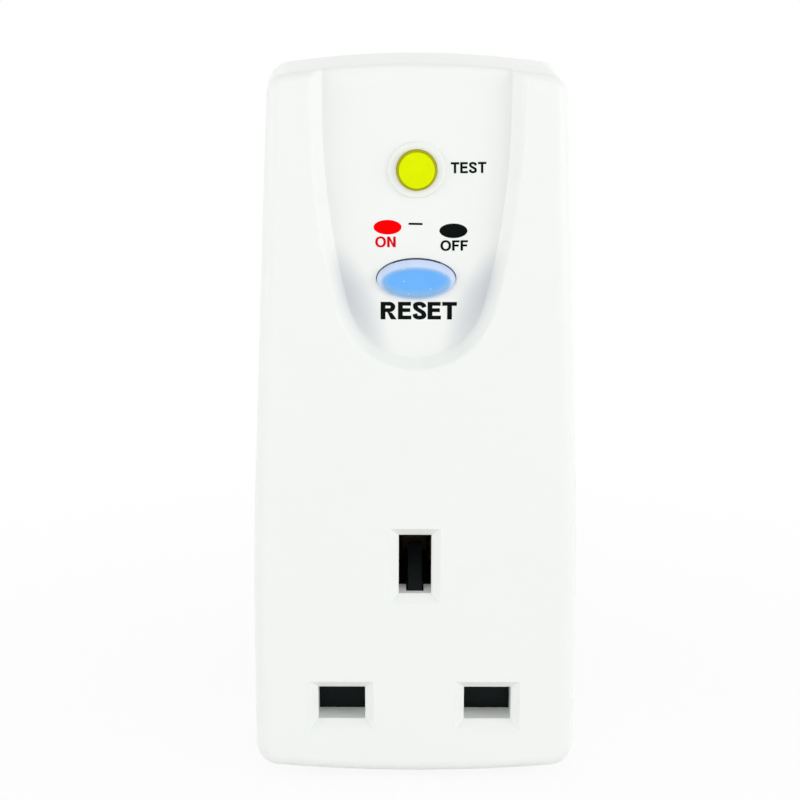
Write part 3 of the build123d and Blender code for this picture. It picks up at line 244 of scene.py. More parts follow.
class Graph:
    """A node tree while it is being wired."""

    def __init__(self, tree: bpy.types.NodeTree) -> None:
        """Starts from an empty tree."""
        self.tree = tree
        self.tree.nodes.clear()

    def feed(self, socket: bpy.types.NodeSocket, value: object) -> None:
        """Links an output to an input socket, or sets the input to a number or a colour."""
        if isinstance(value, bpy.types.NodeSocket):
            self.tree.links.new(value, socket)
        else:
            socket.default_value = value

    def node(self, kind: str, settings: dict | None = None, **sockets: object) -> bpy.types.Node:
        """Adds a node.

        Args:
            kind: Node type.
            settings: Attribute names and values.
            sockets: Names of inputs, with underscores for spaces, and a constant or an output for each.

        Returns:
            The node.
        """
        made = self.tree.nodes.new(kind)
        for key, value in (settings or {}).items():
            setattr(made, key, value)
        for key, value in sockets.items():
            self.feed(made.inputs[key.replace("_", " ")], value)
        return made

    def math(self, kind: str, one: object, two: object = 0.0) -> bpy.types.NodeSocket:
        """Works out one value from two.

        Args:
            kind: Operation of the Math node.
            one: First number or output.
            two: Second number or output.

        Returns:
            The result.
        """
        made = self.node("ShaderNodeMath", {"operation": kind})
        self.feed(made.inputs[0], one)
        self.feed(made.inputs[1], two)
        return made.outputs[0]

    def length(self, vector: bpy.types.NodeSocket) -> bpy.types.NodeSocket:
        """Returns the length of a vector."""
        return self.node("ShaderNodeVectorMath", {"operation": "LENGTH"}, Vector=vector).outputs["Value"]

    def mapped(
        self, value: bpy.types.NodeSocket, source: tuple, target: tuple, kind: str = "LINEAR"
    ) -> bpy.types.NodeSocket:
        """Maps a value from one range to another, and holds it at their ends.

        Args:
            value: The value.
            source: Two ends of its own range.
            target: What the two ends become.
            kind: How it runs between them.

        Returns:
            The mapped value.
        """
        made = self.node("ShaderNodeMapRange", {"interpolation_type": kind}, Value=value)
        for key, number in zip(("From Min", "From Max", "To Min", "To Max"), (*source, *target)):
            made.inputs[key].default_value = number
        return made.outputs["Result"]

    def mixed(self, share: object, one: object, two: object, blend: str = "MIX") -> bpy.types.NodeSocket:
        """Mixes two colours.

        Args:
            share: Share of the second colour.
            one: First colour.
            two: Second colour.
            blend: How they mix.

        Returns:
            The mixed colour.
        """
        made = self.node("ShaderNodeMix", {"data_type": "RGBA", "blend_type": blend})
        for index, value in ((0, share), (6, one), (7, two)):
            self.feed(made.inputs[index], value)
        return made.outputs[2]

    def either(self, share: object, one: bpy.types.Node, two: bpy.types.Node) -> bpy.types.NodeSocket:
        """Mixes two shaders.

        Args:
            share: Share of the second shader.
            one: First shader.
            two: Second shader.

        Returns:
            The mixed shader.
        """
        made = self.node("ShaderNodeMixShader")
        for socket, value in zip(made.inputs, (share, one.outputs[0], two.outputs[0])):
            self.feed(socket, value)
        return made.outputs[0]

    def rays(self, *kinds: str) -> bpy.types.NodeSocket:
        """Finds rays by kind.

        Args:
            kinds: Outputs of the Light Path node.

        Returns:
            1 for rays of any of these kinds, and 0 for all others.
        """
        path = self.node("ShaderNodeLightPath")
        found = path.outputs[kinds[0]]
        for kind in kinds[1:]:
            found = self.math("MAXIMUM", found, path.outputs[kind])
        return found


class Bench(Graph):
    """Node tree of a material with one Principled shader.

    A noise's octave has octave_share of the strength of the one before it. A clouded colour reaches its two
    ends where the noise has the values cloud_stops, and a roughness where it has those of texture_span.
    """

    octave_share = 0.55
    cloud_stops = (0.3, 0.7)
    texture_span = (0.25, 0.75)

    def __init__(self, name: str) -> None:
        """Starts the material with its shader and the object's own coordinates."""
        self.material = bpy.data.materials.new(name)
        self.material.use_nodes = True
        super().__init__(self.material.node_tree)
        self.shader = self.node("ShaderNodeBsdfPrincipled")
        self.node("ShaderNodeOutputMaterial", Surface=self.shader.outputs["BSDF"])
        self.place = self.node("ShaderNodeTexCoord").outputs["Object"]

    def fix(self, **sockets: object) -> None:
        """Gives inputs of the shader, named with underscores for spaces, their constants or links."""
        for key, value in sockets.items():
            self.feed(self.shader.inputs[key.replace("_", " ")], value)

    def noise(self, scale: float, detail: float, stretch: tuple = (1.0, 1.0, 1.0)) -> bpy.types.NodeSocket:
        """Adds a noise on the object's own coordinates.

        Args:
            scale: Waves per metre.
            detail: Octaves.
            stretch: Scale along each axis.

        Returns:
            The noise, from 0 to 1.
        """
        place = self.node("ShaderNodeMapping", Vector=self.place, Scale=stretch).outputs["Vector"]
        settings = {"Scale": scale, "Detail": detail, "Roughness": self.octave_share}
        return self.node("ShaderNodeTexNoise", Vector=place, **settings).outputs[0]

    def facing(self) -> bpy.types.NodeSocket:
        """Returns the object's own coordinates, turned so that a flat pattern lies on the front."""
        turn = (math.pi / 2, 0.0, 0.0)
        return self.node("ShaderNodeMapping", Vector=self.place, Rotation=turn).outputs["Vector"]

    def ramp(
        self, value: bpy.types.NodeSocket, colours: tuple, ends: tuple = (0.0, 1.0)
    ) -> bpy.types.NodeSocket:
        """Turns a value into a colour.

        Args:
            value: The value.
            colours: Two or more linear colours, spread evenly.
            ends: Values at which the first and the last colour stand.

        Returns:
            The colour.
        """
        made = self.node("ShaderNodeValToRGB", Fac=value)
        stops = made.color_ramp.elements
        while len(stops) < len(colours):
            stops.new(0.5)
        for step, (stop, colour) in enumerate(zip(stops, colours)):
            stop.position = ends[0] + (ends[1] - ends[0]) * step / (len(colours) - 1)
            stop.color = (*colour, 1.0)
        return made.outputs["Color"]

    def clouded(
        self, texture: bpy.types.NodeSocket, colour: tuple, low: float, high: float
    ) -> bpy.types.NodeSocket:
        """Varies a colour by a texture.

        Args:
            texture: The texture.
            colour: Linear colour.
            low: Factor where the texture is low.
            high: Factor where it is high.

        Returns:
            The varied colour.
        """
        return self.ramp(texture, (shade(colour, low), shade(colour, high)), self.cloud_stops)

    def rough(self, texture: bpy.types.NodeSocket, low: float, high: float) -> None:
        """Varies the shader's roughness by a texture, from low to high."""
        self.fix(Roughness=self.mapped(texture, self.texture_span, (low, high)))

    def relief(self, texture: bpy.types.NodeSocket, strength: float, depth: float) -> None:
        """Turns a texture into a bump of a depth in millimetres on the shader's normal."""
        bump = self.node("ShaderNodeBump", Height=texture, Strength=strength, Distance=depth * MM)
        self.fix(Normal=bump.outputs["Normal"])


def shade(colour: tuple, factor: float) -> tuple:
    """Returns a colour times a factor, held below 1."""
    return tuple(min(channel * factor, 1.0) for channel in colour)


@dataclass(frozen=True)
class MouldedPlastic:
    """Injection-moulded plastic: faintly cloudy, with either a fine grain or the waviness of a moulded skin.

    The cloud and matt_spread are the shares by which the colour and the roughness vary. The scales are in
    waves per metre, and the depths of the relief are in millimetres.
    """

    name: str
    colour: tuple
    roughness: float
    cloud: float
    grain: float = 0.0
    waviness: float = 0.02
    gloss: float = 0.5
    cloud_scale: float = 90.0
    cloud_detail: float = 4.0
    matt_scale: float = 420.0
    matt_spread: float = 0.03
    grain_scale: float = 5200.0
    grain_depth: float = 0.02
    wave_scale: float = 170.0
    wave_depth: float = 0.05

    def tint(self, bench: Bench) -> bpy.types.NodeSocket:
        """Wires the clouded colour and returns it."""
        clouds = bench.noise(self.cloud_scale, self.cloud_detail)
        return bench.clouded(clouds, self.colour, 1 - self.cloud, 1 + self.cloud)

    def material(self) -> bpy.types.Material:
        """Wires the finish and returns it."""
        bench = Bench(self.name)
        bench.fix(Base_Color=self.tint(bench), IOR=1.5, Specular_IOR_Level=self.gloss)
        low, high = self.roughness * (1 - self.matt_spread), self.roughness * (1 + self.matt_spread)
        bench.rough(bench.noise(self.matt_scale, detail=2.0), low, high)
        if self.grain:
            bench.relief(bench.noise(self.grain_scale, detail=2.0), self.grain, self.grain_depth)
        else:
            bench.relief(bench.noise(self.wave_scale, detail=1.0), self.waviness, self.wave_depth)
        return bench.material


@dataclass(frozen=True)
class CasePlastic(MouldedPlastic):
    """White moulded plastic of the front, with painted shade: a faint grey darkening low in its sunk panel.

    The painted shade shows in two spots that mirror each other. A spot is corner_size from its middle to its
    edge, and full within the share corner_core of that. Hollow surfaces in it get all of the painted shade
    and
    open ones the share corner_open: corner_shadow holds the ambient occlusion of the two, which is found
    within corner_reach.
    """

    # Grey of the painted shade, mixed into the white low in the sunk panel
    painted_shade_colour: tuple = (0.47, 0.48, 0.56)
    corner_reach: float = 3.5
    corner_shadow: tuple = (0.6, 0.97)
    corner_open: float = 0.4
    corner_middle: tuple = (8.4, 62.0)
    corner_size: tuple = (3.6, 9.5)
    corner_lean: float = 0.4
    corner_core: float = 0.1
    samples: int = 12

    def spots(self, bench: Bench) -> bpy.types.NodeSocket:
        """Wires the two soft spots of painted shade low in the sunk panel.

        The rise is z less the middle's z. The distance across is the size of x, less the middle's x, less
        the lean times the rise. Both are divided by the spot's size, and the strength falls smoothly from 1
        to 0 with the square root of the sum of their squares.

        Args:
            bench: Node tree of the finish.

        Returns:
            The strength of the spots.
        """
        axes = bench.node("ShaderNodeSeparateXYZ", Vector=bench.place)
        rise = bench.math("SUBTRACT", axes.outputs["Z"], self.corner_middle[1] * MM)
        lean = bench.math("MULTIPLY", rise, self.corner_lean)
        side = bench.math("SUBTRACT", bench.math("ABSOLUTE", axes.outputs["X"]), self.corner_middle[0] * MM)
        across = bench.math("DIVIDE", bench.math("SUBTRACT", side, lean), self.corner_size[0] * MM)
        along = bench.math("DIVIDE", rise, self.corner_size[1] * MM)
        offset = bench.node("ShaderNodeCombineXYZ", X=across, Y=along).outputs["Vector"]
        return bench.mapped(bench.length(offset), (self.corner_core, 1.0), (1.0, 0.0), "SMOOTHSTEP")

    def tint(self, bench: Bench) -> bpy.types.NodeSocket:
        """Wires the clouded colour with the painted shade over it, and returns it."""
        reach = self.corner_reach * MM
        hollow = bench.node("ShaderNodeAmbientOcclusion", {"samples": self.samples}, Distance=reach)
        depth = bench.mapped(hollow.outputs["AO"], self.corner_shadow, (1.0, self.corner_open))
        # Painted shade: grey where the surface is hollow and within the two spots
        grey = bench.math("MULTIPLY", depth, self.spots(bench))
        return bench.mixed(grey, super().tint(bench), (*self.painted_shade_colour, 1.0))


@dataclass(frozen=True)
class WorkedMetal:
    """Stamped, drawn or turned metal: fine streaks along one axis and a light tarnish."""

    name: str
    colour: tuple
    roughness: float
    streak: tuple
    tarnish: float = 0.16
    bright: float = 0.04
    stain_scale: float = 150.0
    streak_scale: float = 2400.0
    streak_range: tuple = (0.75, 1.3)
    streak_strength: float = 0.12
    streak_depth: float = 0.02

    def material(self) -> bpy.types.Material:
        """Wires the finish and returns it."""
        bench = Bench(self.name)
        stain = bench.noise(self.stain_scale, detail=6.0)
        tint = bench.clouded(stain, self.colour, 1 - self.tarnish, 1 + self.bright)
        bench.fix(Base_Color=tint, Metallic=1.0)
        streaks = bench.noise(self.streak_scale, detail=3.0, stretch=self.streak)
        bench.rough(streaks, *(self.roughness * factor for factor in self.streak_range))
        bench.relief(streaks, self.streak_strength, self.streak_depth)
        return bench.material


@dataclass(frozen=True)
class PrintedInk:
    """Pad-printed ink: an even tone with faint thin spots, on a slightly uneven film."""

    name: str
    tone: InkTone
    film_scale: float = 2600.0
    thin: float = 0.92
    thick: float = 1.04
    roughness: tuple = (0.38, 0.5)
    film_relief: float = 0.15
    film_depth: float = 0.01

    def material(self) -> bpy.types.Material:
        """Wires the finish and returns it."""
        bench = Bench(self.name)
        film = bench.noise(self.film_scale, detail=3.0)
        tint = bench.clouded(film, self.tone.value, self.thin, self.thick)
        bench.fix(Base_Color=tint, IOR=1.48, Specular_IOR_Level=0.02)
        bench.rough(film, *self.roughness)
        bench.relief(film, self.film_relief, self.film_depth)
        return bench.material


@dataclass(frozen=True)
class ZonedPlastic:
    """Moulded button plastic whose colours, some of them painted shade and painted highlight, run along the
    piece's own attribute named zone, from 0 to 1.

    Specks are pale points on the front: speck is their strength, speck_scale their number per metre, and
    speck_size the distances, in their own spacing, at which they are full and gone.
    """

    name: str
    colours: tuple
    roughness: float
    coat: float
    gloss: float = 0.5
    coat_roughness: float = 0.05
    speck: float = 0.0
    speck_colour: tuple = (0.85, 0.92, 1.0)
    speck_scale: float = 300.0
    speck_size: tuple = (0.012, 0.034)
    cloud: float = 0.03
    cloud_scale: float = 500.0
    matt_scale: float = 1500.0
    matt_range: tuple = (0.85, 1.2)
    wave_scale: float = 420.0
    waviness: float = 0.06
    wave_depth: float = 0.04

    def material(self) -> bpy.types.Material:
        """Wires the finish and returns it."""
        bench = Bench(self.name)
        zone = bench.node("ShaderNodeAttribute", {"attribute_name": "zone"}).outputs["Fac"]
        even = (1 - self.cloud,) * 3, (1 + self.cloud,) * 3
        clouds = bench.ramp(bench.noise(self.cloud_scale, detail=4.0), even, bench.cloud_stops)
        mottled = bench.mixed(1.0, bench.ramp(zone, self.colours), clouds, "MULTIPLY")
        bench.fix(Base_Color=bench.mixed(self.specks(bench), mottled, (*self.speck_colour, 1.0)), IOR=1.5)
        bench.fix(Coat_Weight=self.coat, Coat_Roughness=self.coat_roughness, Specular_IOR_Level=self.gloss)
        matt = bench.noise(self.matt_scale, detail=4.0)
        bench.rough(matt, *(self.roughness * factor for factor in self.matt_range))
        bench.relief(bench.noise(self.wave_scale, detail=2.0), self.waviness, self.wave_depth)
        return bench.material

    def specks(self, bench: Bench) -> bpy.types.NodeSocket:
        """Wires a few fine specks spread over the front, and returns their strength."""
        plane = {"voronoi_dimensions": "2D"}
        cells = bench.node("ShaderNodeTexVoronoi", plane, Vector=bench.facing(), Scale=self.speck_scale)
        return bench.mapped(cells.outputs["Distance"], self.speck_size, (self.speck, 0.0))


@dataclass(frozen=True)
class BoardMask:
    """Solder mask over copper tracks: the tracks show as paler, slightly raised runs."""

    name: str
    colour: tuple
    second_shade: float = 0.86
    track_shade: float = 1.9
    track_scale: float = 380.0
    track_relief: float = 0.25
    track_depth: float = 0.03
    roughness: tuple = (0.24, 0.36)
    matt_scale: float = 900.0

    def material(self) -> bpy.types.Material:
        """Wires the finish and returns it."""
        bench = Bench(self.name)
        tracks = bench.node(
            "ShaderNodeTexBrick",
            {"offset": 0.37, "squash": 0.6, "squash_frequency": 3},
            Vector=bench.facing(),
            Scale=self.track_scale,
            Mortar_Size=0.09,
            Mortar_Smooth=0.15,
            Brick_Width=1.7,
            Row_Height=0.62,
            Color1=(*self.colour, 1.0),
            Color2=(*shade(self.colour, self.second_shade), 1.0),
            Mortar=(*shade(self.colour, self.track_shade), 1.0),
        )
        bench.fix(Base_Color=tracks.outputs["Color"], IOR=1.52)
        bench.relief(tracks.outputs["Fac"], self.track_relief, self.track_depth)
        bench.rough(bench.noise(self.matt_scale, detail=4.0), *self.roughness)
        return bench.material


# Finishes of this adapter
# Both white mouldings share their colour, roughness and cloudiness
WHITE_PLASTIC = ((0.865, 0.887, 0.86), 0.34, 0.003)
# The front's finish also has painted shade low in its sunk panel
CASE_WHITE = CasePlastic("case_white", *WHITE_PLASTIC, gloss=0.3, cloud_scale=60.0, cloud_detail=2.0)
REAR_WHITE = MouldedPlastic("rear_white", *WHITE_PLASTIC, gloss=CASE_WHITE.gloss)
SLEEVE_BLACK = MouldedPlastic("sleeve_black", (0.018, 0.018, 0.02), 0.42, 0.1, 0.25)
SHUTTER_BLACK = MouldedPlastic("shutter_black", (0.006, 0.009, 0.009), 0.5, 0.12, 0.1, gloss=0.1)
MOULDING_BLACK = MouldedPlastic("moulding_black", (0.004, 0.006, 0.005), 0.55, 0.1, 0.1, gloss=0.08)
INNER_IVORY = MouldedPlastic("inner_ivory", (0.72, 0.69, 0.6), 0.45, 0.03, 0.3)
BARRIER_TAN = MouldedPlastic("barrier_tan", (0.46, 0.3, 0.15), 0.6, 0.12, 0.5)
CHIP_BLACK = MouldedPlastic("chip_black", (0.016, 0.016, 0.017), 0.55, 0.1, 0.6)
VARISTOR_BLUE = MouldedPlastic("varistor_blue", (0.01, 0.05, 0.22), 0.22, 0.08, 0.0, 0.4)
CAPACITOR_GREY = MouldedPlastic("capacitor_grey", (0.26, 0.28, 0.3), 0.35, 0.05, 0.2)
RESISTOR_TAN = MouldedPlastic("resistor_tan", (0.56, 0.4, 0.22), 0.38, 0.08, 0.1)
FERRITE_GREY = MouldedPlastic("ferrite_grey", (0.03, 0.03, 0.033), 0.62, 0.2, 0.8)
PIN_BRASS = WorkedMetal("pin_brass", (0.6, 0.4, 0.14), 0.3, (1.0, 0.05, 1.0), 0.22)
CONTACT_BRASS = WorkedMetal("contact_brass", (0.7, 0.5, 0.22), 0.34, (1.0, 0.08, 1.0))
STRAP_COPPER = WorkedMetal("strap_copper", (0.75, 0.33, 0.18), 0.36, (1.0, 1.0, 0.06))
LEAF_BRONZE = WorkedMetal("leaf_bronze", (0.62, 0.38, 0.2), 0.3, (0.08, 1.0, 1.0))
SPRING_STEEL = WorkedMetal("spring_steel", (0.56, 0.57, 0.6), 0.22, (0.4, 0.4, 0.4), 0.08)
PLATED_STEEL = WorkedMetal("plated_steel", (0.62, 0.63, 0.65), 0.32, (1.0, 1.0, 0.3), 0.12)
ENAMELLED_WIRE = WorkedMetal("enamelled_wire", (0.52, 0.17, 0.06), 0.28, (0.5, 0.5, 0.5), 0.2)
SOLDER = WorkedMetal("solder", (0.7, 0.71, 0.73), 0.26, (1.0, 1.0, 1.0), 0.1)
MASK_GREEN = BoardMask("mask_green", (0.012, 0.1, 0.035))
# Test yellow: the button's own yellow, and an olive that is painted shade on its edge and shank
TEST_YELLOW = ZonedPlastic("test_yellow", ((0.725, 0.85, 0.0), (0.41, 0.4, 0.01)), 0.4, 0.0, 0.03)
# Reset blue: own blue, painted shade low on it, painted highlight on its rim, painted shade on its sides
RESET_BLUE = ZonedPlastic(
    "reset_blue",
    ((0.112, 0.42, 0.96), (0.22, 0.46, 0.78), (0.56, 0.67, 0.91), (0.01, 0.02, 0.14)),
    0.16,
    0.4,
    speck=0.6,
)
INK_BLACK = PrintedInk("ink_black", InkTone.BLACK)
INK_RED = PrintedInk("ink_red", InkTone.RED)
INK_DEEP_RED = PrintedInk("ink_deep_red", InkTone.DEEP_RED)
INKS = {ink.tone: ink for ink in (INK_BLACK, INK_RED, INK_DEEP_RED)}

CAD_FINISHES = {
    CASE_WHITE: ("front_cover",),
    REAR_WHITE: ("rear_base",),
    PIN_BRASS: ("live_pin", "neutral_pin", "earth_pin"),
    SLEEVE_BLACK: ("live_pin_sleeve", "neutral_pin_sleeve"),
    SHUTTER_BLACK: ("shutter",),
    MOULDING_BLACK: ("socket_moulding",),
    BARRIER_TAN: ("insulating_plate",),
    STRAP_COPPER: ("live_supply_strap", "neutral_supply_strap", "live_load_strap", "neutral_load_strap"),
    CONTACT_BRASS: (
        *("live_socket_contact", "neutral_socket_contact", "earth_socket_contact", "earth_link"),
        *("live_supply_contact", "live_load_contact", "live_moving_contact"),
        *("neutral_supply_contact", "neutral_load_contact", "neutral_moving_contact"),
    ),
    MASK_GREEN: ("circuit_board",),
    CHIP_BLACK: ("control_chip",),
    VARISTOR_BLUE: ("varistor",),
    CAPACITOR_GREY: ("suppression_capacitor",),
    RESISTOR_TAN: ("test_resistor",),
    FERRITE_GREY: ("transformer_core",),
    INNER_IVORY: ("mechanism_frame", "contact_carrier", "solenoid_bobbin"),
    PLATED_STEEL: ("latch_plate", "solenoid_yoke", "solenoid_plunger", "case_screws"),
    LEAF_BRONZE: ("test_leaf", "test_terminal"),
}


class Paints:
    """The finishes as materials, each made once."""

    def __init__(self) -> None:
        """Starts with none made."""
        self.made: dict = {}

    def get(self, finish: object) -> bpy.types.Material:
        """Returns a finish's material, and makes it the first time."""
        if finish.name not in self.made:
            self.made[finish.name] = finish.material()
        return self.made[finish.name]


# CAD nodes


class CadDressing:
    """Finishes on the carried-over CAD nodes, whose meshes already carry the true normals of their faces."""

    def dress(self, paints: Paints) -> None:
        """Gives each CAD node its finish."""
        for finish, names in CAD_FINISHES.items():
            for name in names:
                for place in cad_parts[name].material_slots:
                    place.material = paints.get(finish)
                log.info("dressed %s with %s", name, finish.name)


# Printing


@dataclass(frozen=True)
class Lettering:
    """Plain upright capitals of even stroke, as closed outlines with a capital height of 1."""

    stem: float
    bar: float
    gap: float = 0.1

    def letter_t(self) -> list:
        """Outline of a T: a bar on a stem."""
        wide, mid, v, h = 0.8, 0.4, self.stem / 2, self.bar
        stem = [(mid + v, 1 - h), (mid + v, 0), (mid - v, 0), (mid - v, 1 - h)]
        return [[(0, 1), (wide, 1), (wide, 1 - h), *stem, (0, 1 - h)]]

    def letter_e(self) -> list:
        """Outline of an E: three bars on a stem."""
        v, h, mid = self.stem, self.bar, 0.53
        foot = [(0, 0), (0.73, 0), (0.73, h), (v, h)]
        middle = [(v, mid - h / 2), (0.67, mid - h / 2), (0.67, mid + h / 2), (v, mid + h / 2)]
        return [[*foot, *middle, (v, 1 - h), (0.71, 1 - h), (0.71, 1), (0, 1)]]

    def letter_f(self) -> list:
        """Outline of an F: two bars on a stem."""
        v, h, mid = self.stem, self.bar, 0.5
        middle = [(v, mid - h / 2), (0.6, mid - h / 2), (0.6, mid + h / 2), (v, mid + h / 2)]
        return [[(0, 0), (v, 0), *middle, (v, 1 - h), (0.68, 1 - h), (0.68, 1), (0, 1)]]

    def letter_n(self) -> list:
        """Outline of an N: two stems and a slanting stroke between their corners."""
        v, wide, slant = self.stem, 0.79, self.stem * 1.55
        left = [(0, 0), (0, 1), (v * 1.05, 1)]
        right = [(wide - v, slant), (wide - v, 1), (wide, 1), (wide, 0), (wide - v * 1.05, 0)]
        return [[*left, *right, (v, 1 - slant), (v, 0)]]

    def oval(self, half_width: float, half_height: float) -> list:
        """Points of an oval: a power curve of cosine and sine, fuller at its corners than an ellipse."""
        angle = np.linspace(0, 2 * np.pi, 48, endpoint=False)
        c, s = np.cos(angle), np.sin(angle)
        middle_x, middle_y, power = 0.49, 0.5, 0.92
        x = middle_x + half_width * np.sign(c) * np.abs(c) ** power
        y = middle_y + half_height * np.sign(s) * np.abs(s) ** power
        return list(zip(x, y))

    def letter_o(self) -> list:
        """Outlines of an O: an outer oval and an inner one, a stroke apart."""
        return [self.oval(0.49, 0.52), self.oval(0.49 - self.stem, 0.52 - self.bar)]

    def letter_r(self) -> list:
        """Outlines of an R: a stem with a round bowl and a leg, and the bowl's opening."""
        v, h, low, round_x, wide = self.stem, self.bar, 0.42, 0.48, 0.8
        turn = np.linspace(np.pi / 2, -np.pi / 2, 15)
        back = turn[::-1]
        rise, reach = (1 - low) / 2, wide - round_x
        bowl = zip(round_x + reach * np.cos(turn), low + rise + rise * np.sin(turn))
        inner_x = round_x + (reach - v * 0.97) * np.cos(back)
        inner = zip(inner_x, low + rise + (rise - h) * np.sin(back))
        leg = [(0.62, 0.37), (0.88, 0), (0.88 - v * 1.25, 0), (0.47 - v * 0.25, 0.34), (0.36, low)]
        return [[(0, 0), (0, 1), *bowl, *leg, (v, low), (v, 0)], [(v, low + h), *inner, (v, 1 - h)]]

    def letter_s(self) -> list:
        """Outline of an S: a stroke that is as wide as the bar where level and as the stem where upright.

        Between two points the spine is a cubic whose slope at each point is half the step between its
        neighbours. Each edge lies half a stroke to its side.
        """
        v, h, wide = self.stem, self.bar, 0.76
        knots = np.array(
            [
                (wide - v * 0.5, 0.69),
                (wide - v * 0.72, 0.83),
                (wide * 0.5, 1.01 - h / 2),
                (v * 0.62, 0.84),
                (v * 0.75, 0.64),
                (wide * 0.5, 0.51),
                (wide - v * 0.7, 0.37),
                (wide - v * 0.6, 0.17),
                (wide * 0.49, h / 2 - 0.01),
                (v * 0.68, 0.16),
                (v * 0.5, 0.32),
            ]
        )
        padded = np.vstack([2 * knots[0] - knots[1], knots, 2 * knots[-1] - knots[-2]])
        t = np.linspace(0, 1, 7)[:-1][None, :, None]
        p0, p1, p2, p3 = (padded[k : len(padded) - 3 + k][:, None, :] for k in range(4))
        square, cube = 2 * p0 - 5 * p1 + 4 * p2 - p3, 3 * p1 - p0 - 3 * p2 + p3
        spine = 0.5 * (2 * p1 + (p2 - p0) * t + square * t**2 + cube * t**3)
        spine = np.vstack([spine.reshape(-1, 2), knots[-1:]])
        along = np.gradient(spine, axis=0)
        along /= np.linalg.norm(along, axis=1, keepdims=True)
        side = np.stack([-along[:, 1], along[:, 0]], axis=-1)
        half = (h + (v - h) * np.abs(side[:, :1]) ** 2) / 2
        return [[*map(tuple, spine + side * half), *map(tuple, (spine - side * half)[::-1])]]

    def dash(self) -> list:
        """Outline of a dash."""
        return [[(0, 0), (1, 0), (1, 1), (0, 1)]]

    def outlines(self, text: str) -> list:
        """Sets the letters of a word side by side.

        Args:
            text: Word of the letters that this class draws.

        Returns:
            Closed outlines as n by 2 arrays.
        """
        drawn = {"T": self.letter_t, "E": self.letter_e, "F": self.letter_f, "N": self.letter_n}
        drawn |= {"O": self.letter_o, "R": self.letter_r, "S": self.letter_s, "-": self.dash}
        placed, start = [], 0.0
        for letter in text:
            loops = [np.array(loop, dtype=float) for loop in drawn[letter]()]
            width = max(loop[:, 0].max() for loop in loops)
            placed += [loop + (start, 0.0) for loop in loops]
            start += width + self.gap
        return placed


@dataclass
class Word:
    """One printed word: letters, middle, width and capital height in millimetres, and tilt in degrees."""

    name: str
    text: str
    middle_x: float
    middle_z: float
    width: float
    height: float
    lettering: Lettering = Lettering(0.225, 0.195)
    tone: InkTone = InkTone.BLACK
    tilt: float = 0.0


